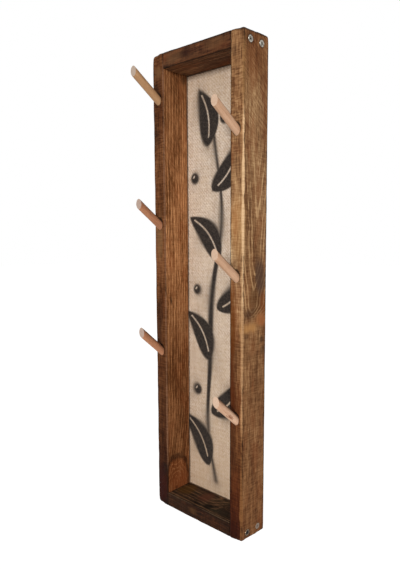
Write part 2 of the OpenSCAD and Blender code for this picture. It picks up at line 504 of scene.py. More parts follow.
@dataclass(frozen=True)
class Growth:
    """The growth rings inside one board, as a field in space.

    The same nodes serve the colour and the relief, so that ridges lie on the rings.
    Board millimetres count from the board's centre: X through its thickness, Y to the wall and
    Z along its fibres.
    """

    centre: Point
    run: Run
    # X and Y of the pith, the rings' spacing and how far the pith sways
    pith: tuple[float, float]
    ring: float
    sway: float
    salt: float
    knots: tuple[Knot, ...] = ()
    # How far the rings have moved out at heights along the board, which gives nested V's, and how
    # much of that the pith has moved towards the front (less than nothing: towards the wall)
    runout: Stops = ((0, 0.0),)
    leaning: float = 0.0

    def place(self, tree: Tree, position: Wire) -> Node:
        """Turns a position in metres into board millimetres.

        Args:
            tree: The tree to add to.
            position: The position in the row frame.

        Returns:
            The node with the place.
        """
        offset = tuple(-c for c in self.centre)
        place = add(tree, VECTOR, {0: position, 1: (1000, 1000, 1000), 2: offset},
                    operation="MULTIPLY_ADD")
        if self.run is Run.ACROSS:
            place = add(tree, "ShaderNodeVectorRotate", {"Vector": place, "Angle": math.pi / 2},
                        rotation_type="Y_AXIS")
        return place

    def build(self, tree: Tree, position: Wire) -> Grown:
        """Adds the nodes of the field.

        Args:
            tree: A material's or a modifier's tree.
            position: The position in metres in the row frame.

        Returns:
            The place, and how much it is late wood, knot and a knot's bark.
        """
        place = self.place(tree, position)
        ragged = add(tree, NOISE, grain(tree, place, (11, 11, 16), self.salt + 31))
        radius = self.from_pith(tree, place, ragged)
        knots: Wire = 0.0
        bark: Wire = 0.0
        for knot in self.knots:
            r = knot.radius
            reach = weighted(tree, ((distance(tree, place, knot.at, (1, 1, 0.6)), 1.0), (ragged, 0.5 * r),
                                    (1.0, -0.25 * r)))
            # The rings bulge round a knot, and inside it they are the knot's own
            radius = add(tree, MATH, {0: Eased(reach, 0, 3.0 * r, 1, 0), 1: min(1.6 * r, 14), 2: radius},
                         operation="MULTIPLY_ADD")
            inside = Eased(reach, 0.8 * r, 1.1 * r, 1, 0)
            radius = add(tree, MIX, {"Factor": inside, "A": radius, "B": reach})
            dark = add(tree, MATH, {0: inside, 1: knot.dark}, operation="MULTIPLY")
            knots = add(tree, MATH, {0: dark, 1: knots}, operation="MAXIMUM")
            line = add(tree, MATH, {0: Eased(reach, 0.82 * r, 0.98 * r),
                                    1: Eased(reach, 0.98 * r, 1.22 * r, 1, 0)}, operation="MULTIPLY")
            bark = add(tree, MATH, {0: line, 1: bark}, operation="MAXIMUM")
        uneven = add(tree, NOISE, {
            "W": add(tree, MATH, {0: radius, 1: 0.45 / self.ring, 2: self.salt}, operation="MULTIPLY_ADD"),
            "Scale": 1.0, "Detail": 2.0}, noise_dimensions="1D")
        turns = add(tree, MATH, {0: radius, 1: 1 / self.ring, 2: uneven}, operation="MULTIPLY_ADD")
        phase = add(tree, MATH, {0: turns}, operation="FRACT")
        # Late wood comes in over the last third of a ring and ends a little sooner than it came
        late = add(tree, MATH, {0: Eased(phase, 0.62, 0.84), 1: Eased(phase, 0.84, 1.0, 1, 0)},
                   operation="MULTIPLY")
        return Grown(place, late, knots, bark)

    def from_pith(self, tree: Tree, place: Node, ragged: Wire) -> Wire:
        """Measures each place's distance from the swaying pith, by which its ring is counted.

        Args:
            tree: The tree to add to.
            place: The place in board millimetres.
            ragged: A noise that makes the rings uneven.

        Returns:
            The node with the distance, 80 mm added so that it stays above nothing.
        """
        drift = add(tree, NOISE, grain(tree, place, (45, 45, 210), self.salt))
        swung = add(tree, VECTOR, {
            0: drift.outputs["Color"], 1: (2 * self.sway, 2 * self.sway, 0),
            2: (-self.sway - self.pith[0], -self.sway - self.pith[1], 0)}, operation="MULTIPLY_ADD")
        out = add(tree, VECTOR, {0: place, 1: (1, 1, 0), 2: swung}, operation="MULTIPLY_ADD")
        runout = stepped(tree, add(tree, SPLIT, {0: place}).outputs["Z"], self.runout)
        aside = add(tree, MATH, {0: runout, 1: self.leaning}, operation="MULTIPLY")
        out = add(tree, VECTOR, {0: out, 1: add(tree, "ShaderNodeCombineXYZ", {"Y": aside})},
                  operation="ADD")
        away = add(tree, VECTOR, {0: out}, operation="LENGTH")
        return weighted(tree, ((away, 1.0), (runout, -1.0), (ragged, 3.0), (1.0, 80.0)))


@dataclass(frozen=True)
class PaleArris:
    """An arris drawn pale, rubbed bare and partly a painted highlight: its X and Y in board millimetres, its
    width, strength, reach and colour.
    """

    at: tuple[float, float]
    width: float
    strength: float
    along: tuple[float, float]
    colour: str

    def cover(self, tree: Tree, place: Node, marks: Wire, patchy: Wire, slow: Wire) -> Wire:
        """Works out how pale each place is drawn, rubbed bare and partly a painted highlight on the rounded
        arris.

        Args:
            tree: The material's tree.
            place: The place in board millimetres.
            marks: The saw marks, whose hollows keep some stain.
            patchy: A noise that frays the rub's edge.
            slow: A slower noise that makes the rub wider and narrower.

        Returns:
            The node with the cover, from 0 to 1.
        """
        gap = distance(tree, place, (*self.at, 0), (1, 1, 0))
        ragged = weighted(tree, ((gap, 1), (patchy, -1.4 * self.width), (slow, -3.4 * self.width),
                                 (1.0, 1.5 * self.width)))
        band: Wire = Eased(ragged, 0, 0.8 * self.width, self.strength, 0)
        up = add(tree, SPLIT, {0: place}).outputs["Z"]
        low, high = self.along
        for limit in (Eased(up, low - 50, low), Eased(up, high, high + 30, 1, 0),
                      Eased(marks, 0.2, 0.7, 0.7, 1)):
            band = add(tree, MATH, {0: band, 1: limit}, operation="MULTIPLY")
        return band


@dataclass(frozen=True)
class Patch:
    """A soft-edged place of other colour, mostly where the stain took differently and in two places painted
    shade: centre and half sizes in board millimetres.
    """

    at: Point
    size: Point
    strength: float
    colour: str = "#22140C"

    def cover(self, tree: Tree, place: Node, ragged: Wire) -> Wire:
        """Works out how far the patch covers each place.

        Args:
            tree: The material's tree.
            place: The place in board millimetres.
            ragged: A noise that makes the patch's edge uneven.

        Returns:
            The cover, from 0 to 1.
        """
        shares = distance(tree, place, self.at, tuple(1 / half for half in self.size))
        gap = weighted(tree, ((shares, 1.0), (ragged, 1.6), (1.0, -0.8)))
        return Eased(gap, 0.35, 1.1, self.strength, 0)


@dataclass(frozen=True)
class StainedPine(Finish):
    """Sawn pine, brushed with a brown stain and waxed.

    Pine takes stain unevenly: the soft early wood drinks it and turns brown, while the hard late
    wood stands up as pale lines. Stain gathers on end grain and along the arrises, and the darker
    inner corners and hole rims are partly painted shade. The arrises are drawn pale where hands have
    rubbed them, partly as a painted highlight. The saw's tooth marks stay in the surface, close
    together and nearly level, and wax leaves it almost matt.
    """

    growth: Growth
    half: Point
    dark: str
    middle: str
    light: str
    inwards: Point
    # How much light the stain lets back at heights along each face, from the lowest up: the stain's depth,
    # with painted light and shade in the split between the faces
    front: Stops = ((0, 1.0),)
    side: Stops = ((0, 1.0),)
    inner: Stops = ((0, 1.0),)
    # The same for end grain, which drinks the most
    endwise: float = 0.42
    streaky: float = 0.26
    blotchy: float = 0.2
    # How plainly the rings' pale lines show at heights along the board
    lined: Stops = ((0, 0.3),)
    # How plainly the level saw marks show on the front face and on the others
    marked: tuple[float, float] = (0.16, 0.16)
    tint: str = "#7A3A18"
    tinted: float = 0.3
    # How much a thicker coat of stain also turns redder
    redder: float = 1.0
    pale_arrises: tuple[PaleArris, ...] = ()
    patches: tuple[Patch, ...] = ()
    # Centres of the dark rings round the peg holes: gathered stain and painted contact shade
    rims: tuple[Point, ...] = ()
    # How much a millimetre of height counts at a hole's rim, which the slant draws out
    rim_slant: float = 0.8
    # Heights between which coarser, leaning saw marks fade in, and their strength
    saw: tuple[float, float, float] = (-400.0, 400.0, 0.0)
    knot_colour: str = "#2E160B"
    # Width and length of the stain's streaks, coarser than real fibres so that they show
    streak_mm: tuple[float, float] = (3.2, 60.0)

    def paint(self, tree: Tree, shader: Node) -> None:
        """Adds the wood's colour, gloss and relief.

        Args:
            tree: The material's tree.
            shader: The shader that is fed.
        """
        grown = self.growth.build(tree, add(tree, "ShaderNodeTexCoord").outputs["Object"])
        place, salt = grown.place, self.growth.salt
        wide, long = self.streak_mm
        streak = add(tree, NOISE, grain(tree, place, (wide, wide, long), salt + 3, 4.0, 0.62))
        fibre = add(tree, NOISE, grain(tree, place, (1.7, 1.7, 13), salt + 5, 4.0, 0.65))
        blotch = add(tree, NOISE, grain(tree, place, (22, 22, 75), salt + 7, 3.0))
        ruddy = add(tree, NOISE, grain(tree, place, (15, 15, 46), salt + 29, 4.0))
        marks = self.saw_marks(tree, place)
        tone = self.tone(tree, grown, streak, fibre, blotch, marks)
        # About the highest tone there is, of which each shade has its share
        full = self.streaky + self.blotchy + sum(self.marked) / 2 + 0.5
        colour = layered(tree, self.dark, (
            (Eased(tone, 0.2 * full, 0.5 * full), self.middle),
            (Eased(tone, 0.46 * full, 0.84 * full), self.light),
            (Eased(ruddy, 0.45, 0.7, 0, self.tinted), self.tint),
            (grown.knots, self.knot_colour),
            (add(tree, MATH, {0: grown.bark, 1: 0.65}, operation="MULTIPLY"), "#26120A")))
        colour = self.stain_depth_and_painted_light(tree, place, colour)
        # Stain gathered along the arrises, and the dark rings round the peg holes, which are partly painted
        # contact shade
        dark_stain_and_shade = add(tree, MATH, {0: self.gathered(tree, place), 1: self.rim_dirt_and_shade(tree, place)},
                   operation="MAXIMUM")
        patchy = add(tree, NOISE, grain(tree, place, (6, 6, 9), salt + 41, 4.0))
        slow = add(tree, NOISE, grain(tree, place, (30, 30, 42), salt + 43, 1.0))
        colour = layered(tree, colour, (
            *((patch.cover(tree, place, blotch), patch.colour) for patch in self.patches),
            (dark_stain_and_shade, "#180C06"),
            *((pale_arris.cover(tree, place, marks, patchy, slow), pale_arris.colour) for pale_arris in self.pale_arrises)))
        height = weighted(tree, ((fibre, 0.5), (streak, 0.4), (grown.late, 0.5), (marks, 0.6)))
        bump = add(tree, "ShaderNodeBump", {"Strength": 0.6, "Distance": 0.35 * MM, "Height": height})
        connect(tree, shader, {
            "Base Color": colour, "Normal": bump, "Roughness": Eased(tone, 0.1, 0.9, 0.74, 0.6),
            "IOR": 1.48, "Specular IOR Level": 0.06})

    def tone(self, tree: Tree, grown: Grown, streak: Wire, fibre: Wire, blotch: Wire,
             marks: Wire) -> Wire:
        """Weighs the patterns into one tone, from the darkest stain up.

        Args:
            tree: The material's tree.
            grown: What the wood's growth gives.
            streak: The stain's streaks.
            fibre: The fibres.
            blotch: The stain's clouds.
            marks: The saw marks.

        Returns:
            The node with the tone.
        """
        normal = add(tree, "ShaderNodeNewGeometry").outputs["Normal"]
        side_on = Eased(add(tree, SPLIT, {0: normal}).outputs["Y"], -0.8, -0.5)
        up = add(tree, SPLIT, {0: grown.place}).outputs["Z"]
        broken = add(tree, MATH, {0: Eased(fibre, 0.3, 0.6, 0.45, 1), 1: Eased(side_on, 0, 1, 0.18, 1)},
                     operation="MULTIPLY")
        plain = add(tree, MATH, {0: grown.late, 1: stepped(tree, up, self.lined)}, operation="MULTIPLY")
        lines = add(tree, MATH, {0: plain, 1: broken}, operation="MULTIPLY")
        ruled = add(tree, MATH, {0: marks, 1: Eased(side_on, 0, 1, *self.marked)}, operation="MULTIPLY")
        return weighted(tree, (
            (Eased(streak, 0.32, 0.68), self.streaky), (Eased(blotch, 0.3, 0.7), self.blotchy),
            (Eased(fibre, 0.3, 0.7), 0.32), (lines, 1.0), (ruled, 1.0)))

    def stain_depth_and_painted_light(self, tree: Tree, place: Node, colour: Wire) -> Node:
        """Deepens the stain face by face and along the board, and paints light and shade into the split
        between the faces.

        A thicker coat of brown stain swallows blue first and red last, so it also turns redder.

        Args:
            tree: The material's tree.
            place: The place in board millimetres.
            colour: The colour so far.

        Returns:
            The node with the new colour.
        """
        up = add(tree, SPLIT, {0: place}).outputs["Z"]
        normal = add(tree, "ShaderNodeNewGeometry").outputs["Normal"]
        facing = add(tree, SPLIT, {0: normal}).outputs
        inwards = add(tree, VECTOR, {0: normal, 1: self.inwards}, operation="DOT_PRODUCT")
        along = facing["Z" if self.growth.run is Run.UP else "X"]
        endwise = add(tree, MATH, {0: along}, operation="ABSOLUTE")
        depth = stepped(tree, up, self.side)
        # Each face's factor is partly painted light and shade: the inner faces are lifted where little light
        # reaches them
        for share, here in (
                (Eased(inwards.outputs["Value"], 0.5, 0.8), stepped(tree, up, self.inner)),
                (Eased(facing["Y"], -0.8, -0.5, 1, 0), stepped(tree, up, self.front)),
                (Eased(endwise, 0.35, 0.8), self.endwise)):
            depth = add(tree, MIX, {"Factor": share, "A": depth, "B": here})
        coat = add(tree, "ShaderNodeCombineXYZ", {
            "X": depth,
            "Y": add(tree, MATH, {0: depth, 1: 1 + 0.45 * self.redder}, operation="POWER"),
            "Z": add(tree, MATH, {0: depth, 1: 1 + 0.8 * self.redder}, operation="POWER")})
        return add(tree, VECTOR, {0: colour, 1: coat}, operation="MULTIPLY")

    def gathered(self, tree: Tree, place: Node) -> Wire:
        """Finds where stain has gathered along the arrises.

        Args:
            tree: The material's tree.
            place: The place in board millimetres.

        Returns:
            How dark each place is.
        """
        off_centre = add(tree, VECTOR, {0: place}, operation="ABSOLUTE")
        inside = add(tree, VECTOR, {0: self.half, 1: off_centre}, operation="SUBTRACT")
        gaps = add(tree, SPLIT, {0: inside}).outputs
        least, most = (
            add(tree, MATH, {0: add(tree, MATH, {0: gaps[0], 1: gaps[1]}, operation=pick), 1: gaps[2]},
                operation=pick)
            for pick in ("MINIMUM", "MAXIMUM"))
        # On a face the least gap is nothing, and the one between is the way to the nearest arris
        to_edge = weighted(tree, ((gaps[0], 1), (gaps[1], 1), (gaps[2], 1), (least, -1), (most, -1)))
        patchy = add(tree, NOISE, grain(tree, place, (5, 5, 14), self.growth.salt + 11, 5.0, 0.7))
        past = add(tree, MATH, {0: to_edge, 1: Eased(patchy, 0.3, 0.7, 1.1, 2.4)}, operation="SUBTRACT")
        return Eased(past, -0.6, 0.8, 0.78, 0)

    def rim_dirt_and_shade(self, tree: Tree, place: Node) -> Wire:
        """Finds the dark rings round the drilled holes: stain gathered there, and painted contact shade at
        the pegs' feet.

        Args:
            tree: The material's tree.
            place: The place in board millimetres.

        Returns:
            How dirty each place is.
        """
        dark_stain_and_shade: Wire = 0.0
        for rim in self.rims:
            gap = distance(tree, place, rim, (1, 0.2, self.rim_slant))
            dark_stain_and_shade = add(tree, MATH, {0: dark_stain_and_shade, 1: Eased(gap, 6.4, 8.6, 0.85, 0)}, operation="MAXIMUM")
        return dark_stain_and_shade

    def saw_marks(self, tree: Tree, place: Node) -> Node:
        """Scores the saw's tooth marks: nearly level everywhere, stronger and leaning near one end.

        Args:
            tree: The material's tree.
            place: The place in board millimetres.

        Returns:
            How high each place stands between the marks, from 0 to 1.
        """
        salt = self.growth.salt
        low, high, strength = self.saw
        up = add(tree, SPLIT, {0: place}).outputs["Z"]
        # Marks every 3 mm or so, the closest that still show; real ones are finer
        tipped = add(tree, "ShaderNodeVectorRotate", {"Vector": place, "Angle": 0.06},
                     rotation_type="X_AXIS")
        level = add(tree, NOISE, grain(tree, tipped, (16, 16, 1.5), salt + 13, 1.0))
        slanted = add(tree, "ShaderNodeVectorRotate", {"Vector": place, "Angle": 0.68},
                      rotation_type="X_AXIS")
        lean = add(tree, NOISE, grain(tree, slanted, (12, 26, 1.7), salt + 17, 1.0))
        cloud = add(tree, NOISE, grain(tree, place, (20, 20, 30), salt + 37))
        where = add(tree, MATH, {0: Eased(up, low, high, 0, strength), 1: Eased(cloud, 0.35, 0.6, 0.3, 1)},
                    operation="MULTIPLY")
        return add(tree, MIX, {"Factor": where, "A": Eased(level, 0.3, 0.7),
                               "B": Eased(lean, 0.35, 0.62, -0.3, 1.3)})


@dataclass(frozen=True)
class OiledDowel(Finish):
    """Turned beech dowel, wiped with oil.

    Beech is pale and even, with short dark flecks along the fibres. Turning leaves it smooth, and
    the oil brings a faint gloss; the sawn end stayed dry, paler and greyer. The pattern follows
    each peg's own axis through an attribute.
    """

    colour: str
    fleck: str
    end: str
    salt: float
    knot: Point | None = None

    def paint(self, tree: Tree, shader: Node) -> None:
        """Adds the dowel's colour, gloss and relief.

        Args:
            tree: The material's tree.
            shader: The shader that is fed.
        """
        place = add(tree, "ShaderNodeAttribute", attribute_name=PegSet.FIBRES).outputs["Vector"]
        streak = add(tree, NOISE, grain(tree, place, (2.4, 2.4, 45), self.salt, 4.0, 0.6))
        fleck = add(tree, NOISE, grain(tree, place, (0.9, 0.9, 6), self.salt + 2))
        cloud = add(tree, NOISE, grain(tree, place, (9, 9, 30), self.salt + 4))
        amount = weighted(tree, ((Eased(streak, 0.35, 0.7), 0.35), (Eased(fleck, 0.5, 0.75), 0.3),
                                 (Eased(cloud, 0.35, 0.7), 0.25)))
        coats: list[tuple[Wire, Wire]] = [(amount, self.fleck)]
        if self.knot:
            gap = distance(tree, place, self.knot, (1, 1, 0.35))
            ragged = weighted(tree, ((gap, 1.0), (fleck, -9.0)))
            coats.append((Eased(ragged, -3.6, -1.2, 0.8, 0), "#7E4524"))
        normal = add(tree, "ShaderNodeNewGeometry").outputs["Normal"]
        # Painted shade, with some dust and wax, along the side that faces up and towards the wall
        upper = add(tree, VECTOR, {0: normal, 1: (0.35, 0.5, 0.79)}, operation="DOT_PRODUCT")
        coats.append((Eased(upper.outputs["Value"], 0.64, 0.93, 0, 0.7), "#5E4432"))
        sawn = Eased(add(tree, SPLIT, {0: normal}).outputs["Y"], -0.95, -0.8, 0.85, 0)
        coats.append((sawn, layered(tree, self.end, ((Eased(fleck, 0.3, 0.7, 0, 0.4), self.fleck),))))
        height = weighted(tree, ((streak, 0.6), (fleck, 0.4)))
        bump = add(tree, "ShaderNodeBump", {"Strength": 0.35, "Distance": 0.15 * MM, "Height": height})
        connect(tree, shader, {
            "Base Color": layered(tree, self.colour, coats), "Normal": bump, "IOR": 1.47,
            "Roughness": Eased(streak, 0.3, 0.7, 0.5, 0.62), "Specular IOR Level": 0.22})


@dataclass(frozen=True)
class JuteHessian(Finish):
    """Jute hessian in a plain weave, glued down and sprayed through a stencil.

    Each thread is a dull bundle of coarse fibres of its own tone, so the cloth looks mottled and
    has no gloss, with a faint fuzz at grazing angles. The threads cross over and under in turn,
    which gives a fine check; its pitch is drawn half as large again as the real one, to show.
    Spray paint soaks in nearly black and fades to a soft mist.
    """

    pitch: float
    pale: str
    deep: str
    ink: str
    straw: str
    darker_brown: str
    # Half width, lower end and upper end of the frame's opening, along whose edge the cloth is darkened with
    # painted contact shade and stain
    opening: tuple[float, float, float]
    # How far the cloth is drawn browner and darker at heights in the row frame, most at the bottom and again
    # near the top
    browner_by_height: Stops = ((-620, 0.5), (-450, 0.26), (-300, 0.1), (-150, 0.0), (-60, 0.0), (10, 0.26))

    def paint(self, tree: Tree, shader: Node) -> None:
        """Adds the threads' tones, the sprayed design and the fuzz.

        Args:
            tree: The material's tree.
            shader: The shader that is fed.
        """
        place = surface_mm(tree)
        # Tone of single threads: narrow across the thread and long along it
        upright = add(tree, NOISE, grain(tree, place, (0.8 * self.pitch, 50, 26), 2.0))
        across = add(tree, NOISE, grain(tree, place, (26, 50, 0.8 * self.pitch), 5.0))
        cloud = add(tree, NOISE, grain(tree, place, (40, 40, 70), 8.0, 3.0))
        speck = add(tree, NOISE, grain(tree, place, (1.9, 10, 1.5), 11.0, 3.0))
        straw = add(tree, NOISE, grain(tree, place, (7, 10, 4), 14.0, 3.0))
        # Over and under: each sine swings once in two threads, so their product makes the check,
        # and a painted light and shade term makes its falling diagonal the plainer one, as light from one
        # side shows it
        split = add(tree, SPLIT, {0: place}).outputs
        u = weighted(tree, ((split["X"], math.pi / self.pitch), (cloud, 10.0)))
        v = weighted(tree, ((split["Z"], math.pi / self.pitch), (cloud, 8.0), (straw, 1.5)))
        diagonal = add(tree, MATH, {0: u, 1: v}, operation="ADD")
        warp, weft, lit_diagonal = (add(tree, MATH, {0: angle}, operation="SINE") for angle in (u, v, diagonal))
        over = add(tree, MATH, {0: warp, 1: weft}, operation="MULTIPLY")
        on_warp, on_weft = (Eased(add(tree, MATH, {0: wave}, operation="ABSOLUTE"), 0.0, 0.45)
                            for wave in (warp, weft))
        solid = add(tree, MATH, {0: on_warp, 1: on_weft}, operation="MAXIMUM")
        tone = weighted(tree, ((Eased(upright, 0.3, 0.7), 0.12), (Eased(across, 0.3, 0.7), 0.12),
                               (cloud, 0.1), (Eased(speck, 0.3, 0.7), 0.26), (over, 0.04),
                               (lit_diagonal, 0.075), (solid, -0.08), (1.0, 0.08)))
        ink = add(tree, "ShaderNodeAttribute", attribute_name=Hessian.INK).outputs["Fac"]
        # Paint misses some fibres, so the cloth's tone breaks through a little
        cover = add(tree, MATH, {0: ink, 1: Eased(speck, 0.35, 0.8, 1.0, 0.92)}, operation="MULTIPLY")
        colour = layered(tree, self.pale, (
            (Eased(tone, 0.0, 0.66), self.deep), (Eased(straw, 0.4, 0.65, 0, 0.35), self.straw),
            (stepped(tree, split["Z"], self.browner_by_height), self.darker_brown),
            (self.edge_shade_and_stain(tree, split, straw), "#3A2418"), (cover, self.ink)))
        height = weighted(tree, ((speck, 0.4), (solid, 0.6), (over, 0.3)))
        bump = add(tree, "ShaderNodeBump", {"Strength": 0.5, "Distance": 0.4 * MM, "Height": height})
        connect(tree, shader, {"Base Color": colour, "Normal": bump, "Roughness": 0.92, "IOR": 1.45,
                               "Specular IOR Level": 0.15, "Sheen Weight": 0.12, "Sheen Roughness": 0.5,
                               "Sheen Tint": "#F2E6D2"})

    def edge_shade_and_stain(self, tree: Tree, split: bpy.types.NodeOutputs, straw: Wire) -> Wire:
        """Finds the dark band on the cloth at the edge of the opening: painted contact shade where the
        boards meet it, and their stain seeped in.

        Args:
            tree: The material's tree.
            split: X, Y and Z of the place in millimetres.
            straw: A noise that makes the edge uneven.

        Returns:
            How stained each place is.
        """
        half, low, high = self.opening
        side = add(tree, MATH, {0: split["X"]}, operation="ABSOLUTE")
        off_middle = add(tree, MATH, {0: split["Z"], 1: (low + high) / 2}, operation="SUBTRACT")
        end = add(tree, MATH, {0: off_middle}, operation="ABSOLUTE")
        inside = add(tree, MATH, {0: weighted(tree, ((side, -0.55), (1.0, 0.55 * half))),
                                  1: weighted(tree, ((end, -1.0), (1.0, (high - low) / 2)))},
                     operation="MINIMUM")
        return Eased(weighted(tree, ((inside, 1.0), (straw, -1.2), (1.0, 0.6))), 0.8, 1.6, 0.85, 0)


@dataclass(frozen=True)
class Hardboard(Finish):
    """Pressed fibreboard, smooth from the press.

    Cooked wood fibres pressed hot give an even brown with fine light and dark specks and a dull,
    slightly leathery face.
    """

    colour: str
    speck: str

    def paint(self, tree: Tree, shader: Node) -> None:
        """Adds the specks, the soft clouds and the pressed face's relief.

        Args:
            tree: The material's tree.
            shader: The shader that is fed.
        """
        place = surface_mm(tree)
        specks = add(tree, NOISE, grain(tree, place, (1.4, 1.4, 1.8), 1.0, 4.0, 0.7))
        cloud = add(tree, NOISE, grain(tree, place, (45, 45, 60), 4.0, 3.0))
        amount = weighted(tree, ((Eased(specks, 0.35, 0.7), 0.6), (cloud, 0.4)))
        bump = add(tree, "ShaderNodeBump", {"Strength": 0.3, "Distance": 0.2 * MM, "Height": specks})
        connect(tree, shader, {
            "Base Color": layered(tree, self.colour, ((amount, self.speck),)), "Normal": bump,
            "Roughness": Eased(specks, 0.3, 0.7, 0.5, 0.7)})


@dataclass(frozen=True)
class BrightZinc(Finish):
    """Steel with bright zinc plating.

    The plating is a cool grey metal with a soft mirror, clouded by the passivating dip. Whatever is
    sunk below the face is drawn nearly black: dust and wax, and painted shade in the driver's recess.
    """

    # Distance of the heads' faces from the rack's middle; below them the heads are drawn dark with grime and
    # painted shade
    face: float | None = None
    colour: str = "#BDB8AC"
    dull: str = "#857F73"
    # Y and Z of the head that is clogged with dark wax, and of the one filled flush with pale wax
    clogged: tuple[float, float] | None = None
    filled: tuple[float, float] | None = None

    def paint(self, tree: Tree, shader: Node) -> None:
        """Adds the plating's clouds, its fine scratches and the dirt below the face.

        Args:
            Adds the plating's clouds, its fine scratches, and the grime and painted shade below the face.
            shader: The shader that is fed.
        """
        place = surface_mm(tree)
        cloud = add(tree, NOISE, grain(tree, place, (3, 3, 3), 1.0, 3.0))
        fine = add(tree, NOISE, grain(tree, place, (0.5, 0.5, 0.5), 2.0))
        coats: list[tuple[Wire, Wire]] = [(Eased(cloud, 0.35, 0.7), self.dull)]
        metal: Wire = 1.0
        rough: Wire = Eased(cloud, 0.3, 0.7, 0.24, 0.42)
        if self.face is not None:
            sideways = add(tree, SPLIT, {0: place}).outputs["X"]
            out = add(tree, MATH, {0: sideways}, operation="ABSOLUTE")
            # Painted shade and grime: everything sunk below the head's face is drawn dark, the recess nearly
            # black
            sunk: Wire = Eased(out, self.face - 0.5, self.face - 0.1, 1, 0)
            if self.clogged:
                wax = self.near_head(tree, place, self.clogged, 3.6)
                sunk = add(tree, MATH, {0: sunk, 1: wax}, operation="MAXIMUM")
            coats.append((sunk, "#1B1714"))
            if self.filled:
                wax = self.near_head(tree, place, self.filled, 4.2)
                sunk = add(tree, MATH, {0: sunk, 1: wax}, operation="MAXIMUM")
                coats.append((wax, "#86766A"))
            metal = add(tree, MATH, {0: 1.0, 1: sunk}, operation="SUBTRACT")
            rough = add(tree, MATH, {0: sunk, 1: rough}, operation="MAXIMUM")
        bump = add(tree, "ShaderNodeBump", {"Strength": 0.2, "Distance": 0.05 * MM, "Height": fine})
        connect(tree, shader, {"Base Color": layered(tree, self.colour, coats), "Metallic": metal,
                               "Normal": bump, "Roughness": rough})

    def near_head(self, tree: Tree, place: Wire, head: tuple[float, float], reach: float) -> Wire:
        """Finds what lies near a screw head's middle.

        Args:
            tree: The material's tree.
            place: The place in millimetres.
            head: Y and Z of the head's middle.
            reach: Radius of what counts as near, in millimetres.

        Returns:
            1 near the middle and 0 outside the reach.
        """
        return Eased(distance(tree, place, (0, *head), (0, 1, 1)), reach - 0.5, reach, 1, 0)


@dataclass(frozen=True)
class PaleFloor(Finish):
    """Matt white studio floor: an even, seamless surface that shows nothing but soft shadows."""

    def paint(self, tree: Tree, shader: Node) -> None:
        """Whitens the floor for the camera and for reflections, but not under a shadow.

        Args:
            tree: The material's tree.
            shader: The shader that is fed.
        """
        mottle = add(tree, NOISE, {
            "Vector": add(tree, "ShaderNodeTexCoord").outputs["Object"], "Scale": 40.0})
        lift = add(tree, MATH, {0: seen_plainly(tree), 1: 0.62}, operation="MULTIPLY")
        connect(tree, shader, {
            "Base Color": layered(tree, "#F4F3F1", ((mottle, "#EFEEEC"),)), "Roughness": 0.9,
            "Specular IOR Level": 0.1, "Emission Color": "#FFFFFF", "Emission Strength": lift})


# The object's own pieces


class ScrewSize(NamedTuple):
    """A screw's diameter over the thread, its head's diameter, its length and its thread's length."""

    d: float
    head_d: float
    length: float
    thread: float


